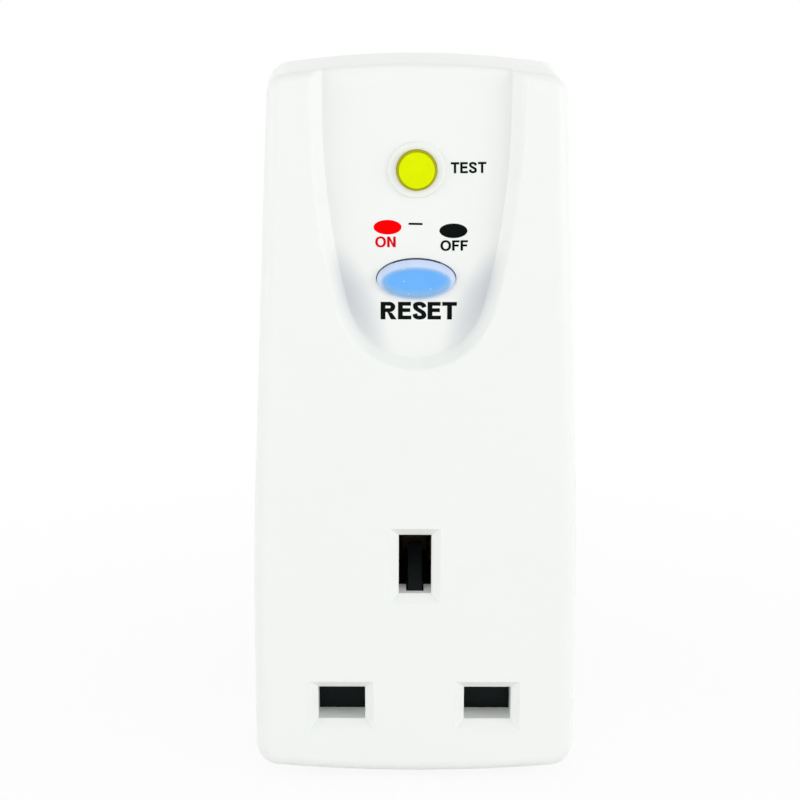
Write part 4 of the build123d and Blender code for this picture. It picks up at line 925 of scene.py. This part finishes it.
@dataclass
class Printing:
    """Words, ovals and the dash on the sunk panel, as thin raised films of ink.

    The two ovals' places are oval_x and oval_z, with the red one first.
    """

    panel_y: float = -31.8
    film: float = 0.02
    film_hub: float = 0.3
    edge_rings: int = 6
    steps: int = 64
    words: tuple = (
        Word("test", "TEST", 7.37, 81.13, 5.05, 1.6, tilt=0.7),
        Word("on", "ON", -4.44, 70.5, 2.95, 1.6, Lettering(0.23, 0.19), InkTone.DEEP_RED),
        Word("off", "OFF", 5.43, 70.0, 3.95, 1.55, tilt=0.7),
        Word("reset", "RESET", 0.38, 60.5, 11.05, 2.62, Lettering(0.26, 0.215, 0.07)),
        Word("dash", "-", -0.13, 73.1, 2.0, 0.3, tilt=-1.0),
    )
    oval_x: tuple = (-4.15, 5.3)
    oval_z: tuple = (72.62, 72.12)
    oval_size: tuple = (4.02, 2.1)

    def letters(self, word: Word, paints: Paints) -> bpy.types.Object:
        """Prints one word from its outlines, fitted to its printed size.

        The flat letters' x goes to X, their y to Z and their thickness to minus Y. They are scaled to the
        word's width and height and turned by its tilt, so the film lies on the panel and looks out of the
        front.

        Args:
            word: The word to print.
            paints: Finishes.

        Returns:
            The word as a mesh object.
        """
        curve = bpy.data.curves.new("outline_" + word.name, "CURVE")
        curve.dimensions = "2D"
        curve.fill_mode = "BOTH"
        curve.extrude = 0.5
        for loop in word.lettering.outlines(word.text):
            spline = curve.splines.new("POLY")
            spline.points.add(len(loop) - 1)
            level, weight = np.zeros((len(loop), 1)), np.ones((len(loop), 1))
            spline.points.foreach_set("co", np.hstack([loop, level, weight]).ravel())
            spline.use_cyclic_u = True
        flat = bpy.data.objects.new("outline_" + word.name, curve)
        bpy.context.scene.collection.objects.link(flat)
        bpy.context.view_layer.update()
        mesh = bpy.data.meshes.new_from_object(flat.evaluated_get(bpy.context.evaluated_depsgraph_get()))
        bpy.data.objects.remove(flat)
        points = np.empty(len(mesh.vertices) * 3, np.float32)
        mesh.vertices.foreach_get("co", points)
        points = points.reshape(-1, 3)
        low, high = points.min(axis=0), points.max(axis=0)
        unit = (points - (low + high) / 2) / (high - low)
        across, up = unit[:, 0] * word.width, unit[:, 1] * word.height
        c, s = math.cos(math.radians(word.tilt)), math.sin(math.radians(word.tilt))
        x, z = word.middle_x + across * c - up * s, word.middle_z + across * s + up * c
        placed = np.stack([x, self.panel_y - self.film * (unit[:, 2] + 0.5), z], axis=-1)
        mesh.vertices.foreach_set("co", (placed * MM).astype(np.float32).ravel())
        mesh.update()
        mesh.materials.clear()
        mesh.materials.append(paints.get(INKS[word.tone]))
        obj = bpy.data.objects.new("print_" + word.name, mesh)
        bpy.context.scene.collection.objects.link(obj)
        return obj

    def film_profile(self, radius: float) -> np.ndarray:
        """Profile of a round film of ink: flat, with a quarter round of the film's own depth at its edge.

        Args:
            radius: Radius of the film in millimetres.

        Returns:
            Radius and depth of each ring in metres.
        """
        front = (self.panel_y - self.film) * MM
        back = self.panel_y * MM
        edge = np.linspace(0, np.pi / 2, self.edge_rings)
        lip = self.film * MM
        radii = radius * MM - lip + lip * np.sin(edge)
        depths = front + (back - front) * (1 - np.cos(edge))
        return np.vstack([[self.film_hub * radius * MM, front], np.stack([radii, depths], axis=-1)])

    def build(self, paints: Paints) -> None:
        """Prints the words, the ovals and the dash, and fixes them to the case."""
        for word in self.words:
            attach(self.letters(word, paints), "case")
            log.info("printed the word %s", word.name)
        for name, ink, x, z in zip(("on", "off"), (INK_RED, INK_BLACK), self.oval_x, self.oval_z):
            film = self.film_profile(self.oval_size[0] / 2)
            squash = (1.0, self.oval_size[1] / self.oval_size[0])
            oval = turned(film, (x * MM, 0, z * MM), Axis.ALONG_Y, self.steps, squash)
            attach(oval.piece("print_oval_" + name, paints.get(ink)), "case")
            log.info("printed oval %s", name)


# Buttons


def zoned(obj: bpy.types.Object, zone: np.ndarray) -> None:
    """Stores a value from 0 to 1 at each point of a mesh, as the attribute that its finish mixes by."""
    layer = obj.data.attributes.new("zone", "FLOAT", "POINT")
    layer.data.foreach_set("value", zone.astype(np.float32))


@dataclass
class TestButton:
    """Round button: a crowned disc with a rounded edge, on its skirt, flange and stem."""

    height: float = 80.8
    radius: float = 2.63
    front: float = -33.15
    crown: float = 0.12
    edge: float = 0.2
    skirt_radius: float = 2.9
    skirt_front: float = -32.85
    skirt_step: float = 0.08
    skirt_bevel: float = 0.1
    flange_radius: float = 3.8
    flange_front: float = -29.3
    flange_back: float = -28.5
    stem_radius: float = 1.1
    stem_end: float = -23.3
    stem_bevel: float = 0.3
    rim_start: float = 0.6
    rim_blend: float = 0.08
    rim_margin: float = 0.1
    first_ring: float = 0.05
    face_rings: int = 10
    edge_rings: int = 9
    steps: int = 96

    def profile(self) -> np.ndarray:
        """Half section in millimetres: a face that falls with the square of its radius, an edge, a shank."""
        share = np.linspace(self.first_ring, 1, self.face_rings)
        flat = self.radius - self.edge
        face = np.stack([flat * share, self.front + self.crown * share**2], axis=-1)
        turn = np.linspace(0, np.pi / 2, self.edge_rings)[1:]
        depth = self.front + self.crown + self.edge * (1 - np.cos(turn))
        corner = np.stack([flat + self.edge * np.sin(turn), depth], axis=-1)
        shank = [
            (self.radius, self.skirt_front - self.skirt_step),
            (self.skirt_radius - self.skirt_bevel, self.skirt_front),
            (self.skirt_radius, self.skirt_front + self.skirt_bevel),
            (self.skirt_radius, self.flange_front),
            (self.flange_radius, self.flange_front),
            (self.flange_radius, self.flange_back),
            (self.stem_radius, self.flange_back),
            (self.stem_radius, self.stem_end + self.stem_bevel),
            (self.stem_radius - self.stem_bevel, self.stem_end),
        ]
        return np.vstack([face, corner, shank])

    def zones(self, profile: np.ndarray) -> np.ndarray:
        """Painted shade of each point: 0 on the face, rising to 1, the full olive, over the edge, and 1 on
        the flange and the stem.

        Args:
            profile: Half section in millimetres.

        Returns:
            One value a point, with the front pole and the rear pole last.
        """
        # Painted shade: olive from just inside the rounded edge outwards, and on the flange and stem
        rim = np.clip((profile[:, 0] - (self.radius - self.edge * self.rim_start)) / self.rim_blend, 0, 1)
        rim[profile[:, 1] > self.flange_front - self.rim_margin] = 1
        return np.concatenate([np.repeat(rim, self.steps), [0.0, 1.0]])

    def build(self, paints: Paints) -> None:
        """Makes the button in place of its CAD node."""
        profile = self.profile()
        skin = turned(profile * MM, (0, 0, self.height * MM), Axis.ALONG_Y, self.steps)
        obj = skin.piece("test_button_skin", paints.get(TEST_YELLOW), smooth_angle=50.0)
        zoned(obj, self.zones(profile))
        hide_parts("test_button")
        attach(obj, "test_button")
        log.info("built the test button")


@dataclass(frozen=True)
class Area:
    """Soft ellipse on a button.

    Its half axes and the rise of its middle are shares of the button's half axes. It starts to fade at edge
    and is gone a blend further out, both in shares of its own half axes.
    """

    half_across: float
    half_up: float
    rise: float
    edge: float
    blend: float

    def strength(self, across: np.ndarray, up: np.ndarray) -> np.ndarray:
        """Finds how strong the area is at each point.

        Args:
            across: Places across, in shares of the button's half width.
            up: Places up from the button's middle, in shares of its half height.

        Returns:
            One value a point, which falls evenly from 1 at the edge to 0 at the end of the blend.
        """
        distance = np.hypot(across / self.half_across, (up - self.rise) / self.half_up)
        return 1 - np.clip((distance - self.edge) / self.blend, 0, 1)


@dataclass
class ResetButton:
    """Oval button: a shallow dished face in a sloping rim, on its flange, with the grooved shaft behind."""

    height: float = 65.11
    half_width: float = 5.68
    half_height: float = 2.88
    front: float = -33.0
    rim_drop: float = 0.7
    end_run: float = 0.95
    side_run: float = 1.35
    dish: float = 0.1
    flange: float = 1.1
    flange_front: float = -29.3
    flange_back: float = -28.5
    hub: float = 0.3
    shaft_radius: float = 1.5
    shaft_sunk: float = 0.3
    shaft_end: float = -12.4
    tip_bevel: float = 0.45
    groove_depth: float = 0.5
    groove_start: float = 1.75
    groove_end: float = 0.95
    groove_bevel: float = 0.05
    middle: Area = Area(0.82, 0.56, 0.0, 0.86, 0.26)
    crescent: Area = Area(0.89, 0.79, -0.11, 0.95, 0.1)
    painted_shade_start: float = 0.15
    painted_shade_fall: float = 2.2
    side_margin: float = 0.02
    first_ring: float = 0.05
    face_rings: int = 20
    rim_rings: int = 14
    steps: int = 120
    shaft_steps: int = 48

    def rows(self) -> np.ndarray:
        """Half axes and depth of each ring, from the middle of the face over the rim to the flange's back.

        The face is dished by one less the square of the share of the way to its edge. The rim falls away
        from it along a rounded slope whose run is longer above and below than at the ends.
        """
        face_long, face_short = self.half_width - self.end_run, self.half_height - self.side_run
        share = np.linspace(self.first_ring, 1, self.face_rings)
        depth = self.front + self.dish * (1 - share**2)
        face = np.stack([face_long * share, face_short * share, depth], axis=-1)
        slope = smoothed([(0.0, 0.0), (0.55, 0.35), (1.0, 1.0)], self.rim_rings)[1:]
        rim_long = face_long + self.end_run * slope[:, 0]
        rim_short = face_short + self.side_run * slope[:, 0]
        rim = np.stack([rim_long, rim_short, self.front + self.rim_drop * slope[:, 1]], axis=-1)
        w, h = self.half_width, self.half_height
        back = [
            (w, h, self.flange_front),
            (w + self.flange, h + self.flange, self.flange_front),
            (w + self.flange, h + self.flange, self.flange_back),
            (self.hub * w, self.hub * h, self.flange_back),
        ]
        return np.vstack([face, rim, back])

    def oval(self) -> Skin:
        """Carries the rings round as ellipses, by the cosine and the sine of an even angle, and closes them.

        Returns:
            The closed surface.
        """
        rows = self.rows()
        angle = np.linspace(0, 2 * np.pi, self.steps, endpoint=False)
        x = rows[:, :1] * np.cos(angle)
        z = self.height + rows[:, 1:2] * np.sin(angle)
        y = np.repeat(rows[:, 2:], self.steps, axis=1)
        return closed_by_poles(np.stack([x, y, z], axis=-1) * MM, flip=True)

    def shaft(self) -> Skin:
        """Turned shaft from inside the flange to its tip, with the groove that the latch plate catches."""
        r, groove, end = self.shaft_radius, self.shaft_radius - self.groove_depth, self.shaft_end
        profile = [
            (r, self.flange_back - self.shaft_sunk),
            (r, end - self.groove_start - self.groove_bevel),
            (groove, end - self.groove_start),
            (groove, end - self.groove_end),
            (r, end - self.groove_end + self.groove_bevel),
            (r - self.tip_bevel, end),
        ]
        return turned(np.array(profile) * MM, (0, 0, self.height * MM), Axis.ALONG_Y, self.shaft_steps)

    def zones(self, points: np.ndarray) -> np.ndarray:
        """Colour of each point: blue middle, a greyer crescent low in it and dark sides, both painted shade,
        and a pale rim that is a painted highlight.

        The crescent is painted shade. Its strength is painted_shade_start at the button's middle and grows
        by painted_shade_fall times the way down, until it is full.

        Args:
            points: Places of the points in millimetres.

        Returns:
            One value a point: 0 in the middle, 1/3 on the crescent, 2/3 on the rim and 1 on the sides.
        """
        across = points[:, 0] / self.half_width
        up = (points[:, 2] - self.height) / self.half_height
        # Painted shade: the greyer crescent, stronger towards the bottom of the button
        low = np.clip(self.painted_shade_start - self.painted_shade_fall * up, 0, 1)
        crescent = self.crescent.strength(across, up) * low
        # Painted highlight: the pale rim round the blue middle, where the crescent's painted shade is weak
        zone = (1 - self.middle.strength(across, up)) * (2 - crescent) / 3
        # Painted shade: the sides behind the front are dark navy
        return np.where(points[:, 1] > self.front + self.rim_drop + self.side_margin, 1.0, zone)

    def build(self, paints: Paints) -> None:
        """Makes the button in place of its CAD node."""
        skin = self.oval().joined(self.shaft())
        obj = skin.piece("reset_button_skin", paints.get(RESET_BLUE), smooth_angle=50.0)
        zoned(obj, self.zones(skin.points / MM))
        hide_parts("reset_button")
        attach(obj, "reset_button")
        log.info("built the reset button")


# Coils


@dataclass
class Coil:
    """Compression spring of round wire with closed ends, in place of its CAD node.

    It fills the way from start to end along its axis, with centre as its two places across. The joint and
    keep, the share of the length that would be left at the joint's limit, are not used.
    """

    node: str
    joint: str
    keep: float
    axis: Axis
    centre: tuple
    start: float
    end: float
    mean_radius: float
    wire: float
    turns: int
    body: str = "case"
    steps: int = 28
    sides: int = 8
    closing: float = 0.16
    gap: float = 0.03

    def path(self) -> tuple:
        """Centre line and outward directions.

        The angle grows evenly with the share t of the way. The rise is t less closing times the sine of 2
        pi t, so that the first and last turns lie nearly flat.

        Returns:
            Points, n by 3, and outward directions, n by 3.
        """
        count = self.turns * self.steps
        share = np.linspace(0, 1, count)
        angle = 2 * np.pi * self.turns * share
        rise = share - self.closing * np.sin(2 * np.pi * share)
        ends = self.wire / 2 + self.gap
        low, high = min(self.start, self.end) + ends, max(self.start, self.end) - ends
        c, s, none = np.cos(angle), np.sin(angle), np.zeros(count)
        one, two = np.full(count, self.centre[0]), np.full(count, self.centre[1])
        along = low + (high - low) * rise
        if self.axis is Axis.ALONG_Z:
            outward, base = np.stack([c, s, none], axis=-1), np.stack([one, two, along], axis=-1)
        else:
            outward, base = np.stack([c, none, s], axis=-1), np.stack([one, along, two], axis=-1)
        return (base + self.mean_radius * outward) * MM, outward

    def build(self, paints: Paints) -> None:
        """Makes the coil in place of its CAD node."""
        points, outward = self.path()
        skin = tube(points, outward, self.wire / 2 * MM, self.sides)
        obj = skin.piece(self.node + "_coil", paints.get(SPRING_STEEL))
        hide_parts(self.node)
        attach(obj, self.body)
        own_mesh(obj)
        log.info("wound %s", self.node)


# Both springs of the carrier share all but their place
CARRIER_COIL = ("carrier_slide", 0.592, Axis.ALONG_Y)
CARRIER_WIRE = (-20.0, -14.6, 1.3, 0.35, 4)
LATCH_COIL = ("latch_slide", 0.538, Axis.ALONG_Z)
COILS = (
    Coil("shutter_spring", "shutter_slide", 0.647, Axis.ALONG_Z, (0.0, -27.35), -7.6, 8.0, 1.1, 0.32, 9),
    Coil("reset_spring", "reset_press", 0.571, Axis.ALONG_Y, (0.0, 65.2), -21.5, -28.5, 2.3, 0.5, 5),
    Coil("left_carrier_spring", *CARRIER_COIL, (-5.6, 65.2), *CARRIER_WIRE),
    Coil("right_carrier_spring", *CARRIER_COIL, (5.6, 65.2), *CARRIER_WIRE),
    Coil("plunger_spring", "plunger_slide", 0.6, Axis.ALONG_Z, (0.0, -13.0), 86.4, 89.4, 1.9, 0.3, 4),
    Coil("latch_spring", *LATCH_COIL, (0.0, -10.8), 58.4, 61.0, 0.5, 0.2, 5, body="contact_carrier"),
)


@dataclass
class TransformerWinding:
    """Turns of enamelled wire laid side by side round the front of the ring core.

    The wire is drawn at wire_share of its thickness, so that neighbouring turns show apart.
    """

    middle_y: float = -9.5
    middle_z: float = 40.5
    ring_radius: float = 5.275
    half_width: float = 1.87
    half_height: float = 3.39
    squareness: float = 0.42
    sweep: float = 104.0
    turns: int = 19
    steps: int = 40
    wire: float = 0.52
    wire_share: float = 0.92
    sides: int = 6

    def path(self) -> tuple:
        """Centre line of the wire.

        Round the section it follows a rounded rectangle, as the cosine and the sine to the power
        squareness, while the section's own angle round the ring grows evenly from one end of the sweep to
        the other.

        Returns:
            Points, n by 3, and outward directions, n by 3.
        """
        share = np.linspace(0, 1, self.turns * self.steps)
        turn = 2 * np.pi * self.turns * share
        around = math.radians(-90 - self.sweep / 2) + math.radians(self.sweep) * share
        c, s = np.cos(turn), np.sin(turn)
        radius = self.ring_radius + self.half_width * np.sign(c) * np.abs(c) ** self.squareness
        up = self.half_height * np.sign(s) * np.abs(s) ** self.squareness
        depth = self.middle_y + radius * np.sin(around)
        points = np.stack([radius * np.cos(around), depth, self.middle_z + up], axis=-1)
        outward = np.stack([c * np.cos(around), c * np.sin(around), s], axis=-1)
        return points * MM, outward

    def build(self, paints: Paints) -> None:
        """Winds the wire in place of the CAD node."""
        points, outward = self.path()
        skin = tube(points, outward, self.wire / 2 * MM * self.wire_share, self.sides)
        obj = skin.piece("transformer_winding_wire", paints.get(ENAMELLED_WIRE), smooth_angle=70.0)
        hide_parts("transformer_winding")
        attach(obj, "case")
        log.info("wound the transformer")


@dataclass
class SolenoidWinding:
    """Layered coil of the solenoid: a sleeve whose skin ripples with the outer layer of wire."""

    middle_y: float = -13.0
    bottom: float = 79.15
    top: float = 84.85
    inner_radius: float = 2.47
    outer_radius: float = 3.5
    wire: float = 0.3
    steps: int = 72
    rows_per_wire: int = 8

    def build(self, paints: Paints) -> None:
        """Makes the sleeve in place of the CAD node.

        The phase at a point is the rise in wires less the share of the turn. The outer radius is less by
        half a wire times (1 - the size of the sine of pi times the phase), which draws a single helix.
        """
        rows = int((self.top - self.bottom) / self.wire) * self.rows_per_wire
        height = self.bottom + (self.top - self.bottom) * np.linspace(0, 1, rows)
        angle = np.linspace(0, 2 * np.pi, self.steps, endpoint=False)
        phase = (height[:, None] - self.bottom) / self.wire - angle[None, :] / (2 * np.pi)
        outer = self.outer_radius - 0.5 * self.wire * (1 - np.abs(np.sin(np.pi * phase)))
        bore = np.full((1, self.steps), self.inner_radius)
        radius = np.vstack([bore, outer, bore])
        level = np.concatenate([[self.bottom], height, [self.top]])[:, None] * np.ones((1, self.steps))
        depth = self.middle_y + radius * np.sin(angle)
        grid = np.stack([radius * np.cos(angle), depth, level], axis=-1) * MM
        quads = lattice(len(grid), self.steps, looped=True)
        skin = Skin(grid.reshape(-1, 3), quads, np.empty((0, 3), dtype=int))
        obj = skin.piece("solenoid_coil_wire", paints.get(ENAMELLED_WIRE), smooth_angle=60.0)
        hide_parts("solenoid_coil")
        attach(obj, "case")
        log.info("wound the solenoid")


@dataclass
class SolderJoints:
    """Small cones of solder where leads and terminals pass the board, on its rear face."""

    rear: float = -7.4
    radius: float = 0.75
    tip: float = 0.28
    height: float = 0.55
    rings: int = 7
    steps: int = 18
    places: tuple = (
        *((-13.0, 78.6), (-8.2, 78.6), (-12.4, 83.0), (-7.6, 83.0)),
        *((14.9, 76.6), (14.9, 67.4), (9.0, 73.4), (-9.0, 73.4)),
        *((9.0, 57.0), (-9.0, 57.0), (7.0, 80.8), (-5.4, 80.8)),
    )

    def build(self, paints: Paints) -> None:
        """Makes all the joints as one piece.

        Each is a meniscus. With t as the share of its rise, its radius is the foot's times (1 - t) squared
        plus the tip's times t.
        """
        share = np.linspace(0, 1, self.rings)
        radii = self.radius * (1 - share) ** 2 + self.tip * share
        profile = np.stack([radii, self.rear + self.height * share], axis=-1) * MM
        cones = [turned(profile, (x * MM, 0, z * MM), Axis.ALONG_Y, self.steps) for x, z in self.places]
        obj = reduce(Skin.joined, cones).piece("solder_joints", paints.get(SOLDER), smooth_angle=60.0)
        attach(obj, "case")
        log.info("soldered %d joints", len(self.places))


# Studio


@dataclass
class Lamp:
    """Soft rectangular lamp: place, size, power and what it looks at, in metres and watts."""

    name: str
    place: tuple
    size: tuple
    power: float
    target: tuple = (0.0, -0.017, 0.042)


@dataclass
class Studio:
    """Camera at the photograph's place, soft lamps, a pale floor and a white surround.

    Lens and sensor are in millimetres, angles in degrees and all other lengths in metres.
    """

    lens: float = 73.98
    sensor: float = 36.0
    nearest: float = 0.01
    camera_place: tuple = (-0.00231, -0.267, 0.1015)
    pitch: float = 13.0
    roll: float = 0.12
    floor_z: float = -0.0126
    floor_reach: float = 3.0
    floor_colour: tuple = (0.9, 0.9, 0.9, 1.0)
    near_white: float = 0.9
    whitening: tuple = (0.04, 0.16)
    ambient: float = 0.915
    overhead: float = 0.68
    white: tuple = (1.0, 1.0, 1.0, 1.0)
    lamps: tuple = (
        Lamp("right_lamp", (0.6, -0.34, 0.08), (0.35, 0.5), 1.75),
        Lamp("left_lamp", (-0.6, -0.34, 0.08), (0.35, 0.5), 1.3),
        Lamp("top_lamp", (0.0, -0.55, 0.6), (0.6, 0.4), 0.3),
        Lamp("back_lamp", (0.1, 0.7, 0.1), (0.5, 0.3), 0.3),
    )

    def aim(self, obj: bpy.types.Object, target: tuple) -> None:
        """Turns a lamp so that it looks at a point."""
        away = np.array(obj.location) - np.array(target)
        flat = math.hypot(away[0], away[1])
        obj.rotation_euler = (math.atan2(flat, away[2]), 0.0, math.atan2(away[0], -away[1]))

    def surround(self) -> None:
        """Sets the world: white where seen directly, in gloss or through clear pieces, and weaker elsewhere.

        The weaker light runs from ambient at and below the horizon to overhead straight up.
        """
        world = bpy.data.worlds.new("surround")
        world.use_nodes = True
        bpy.context.scene.world = world
        graph = Graph(world.node_tree)
        direction = graph.node("ShaderNodeTexCoord").outputs["Generated"]
        height = graph.node("ShaderNodeSeparateXYZ", Vector=direction).outputs["Z"]
        strength = graph.mapped(height, (0.0, 1.0), (self.ambient, self.overhead))
        light = graph.node("ShaderNodeBackground", Color=self.white, Strength=strength)
        seen = graph.node("ShaderNodeBackground", Color=self.white, Strength=1.0)
        share = graph.rays("Is Camera Ray", "Is Glossy Ray", "Is Transmission Ray")
        graph.node("ShaderNodeOutputWorld", Surface=graph.either(share, light, seen))

    def floor(self) -> None:
        """Lays the floor: matt, and to the camera and in gloss mostly a white glow, with a soft shadow.

        The share of the glow grows from near_white by the object to 1, over the two distances in whitening.
        """
        mesh = bpy.data.meshes.new("floor")
        square = ((-1, -1), (1, -1), (1, 1), (-1, 1))
        corners = [(x * self.floor_reach, y * self.floor_reach, self.floor_z) for x, y in square]
        mesh.from_pydata(corners, [], [(0, 1, 2, 3)])
        material = bpy.data.materials.new("floor_white")
        material.use_nodes = True
        graph = Graph(material.node_tree)
        matt = graph.node("ShaderNodeBsdfDiffuse", Color=self.floor_colour)
        glow = graph.node("ShaderNodeEmission", Strength=1.0)
        distance = graph.length(graph.node("ShaderNodeTexCoord").outputs["Object"])
        fade = graph.mapped(distance, self.whitening, (self.near_white, 1.0))
        share = graph.math("MULTIPLY", graph.rays("Is Camera Ray", "Is Glossy Ray"), fade)
        graph.node("ShaderNodeOutputMaterial", Surface=graph.either(share, matt, glow))
        mesh.materials.append(material)
        obj = bpy.data.objects.new("floor", mesh)
        bpy.context.scene.collection.objects.link(obj)

    def build(self) -> None:
        """Sets up the camera, the lamps, the floor and the surround."""
        data = bpy.data.cameras.new("camera")
        data.sensor_width = self.sensor
        data.lens = self.lens
        data.clip_start = self.nearest
        camera = bpy.data.objects.new("camera", data)
        camera.location = self.camera_place
        tilt = Matrix.Rotation(math.radians(90 - self.pitch), 3, "X")
        camera.rotation_euler = (tilt @ Matrix.Rotation(math.radians(self.roll), 3, "Z")).to_euler()
        bpy.context.scene.collection.objects.link(camera)
        bpy.context.scene.camera = camera
        for lamp in self.lamps:
            light = bpy.data.lights.new(lamp.name, "AREA")
            light.shape = "RECTANGLE"
            light.size, light.size_y = lamp.size
            light.energy = lamp.power
            obj = bpy.data.objects.new(lamp.name, light)
            obj.location = lamp.place
            self.aim(obj, lamp.target)
            bpy.context.scene.collection.objects.link(obj)
        self.floor()
        self.surround()
        bpy.context.scene.view_settings.view_transform = "Standard"
        log.info("set up the studio")


def main() -> None:
    """Builds the dressing in order."""
    logging.basicConfig(level=logging.INFO, format="%(message)s")
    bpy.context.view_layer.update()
    paints = Paints()
    Studio().build()
    CadDressing().dress(paints)
    Printing().build(paints)
    TestButton().build(paints)
    ResetButton().build(paints)
    for coil in COILS:
        coil.build(paints)
    TransformerWinding().build(paints)
    SolenoidWinding().build(paints)
    SolderJoints().build(paints)


if __name__ == "__main__":
    main()
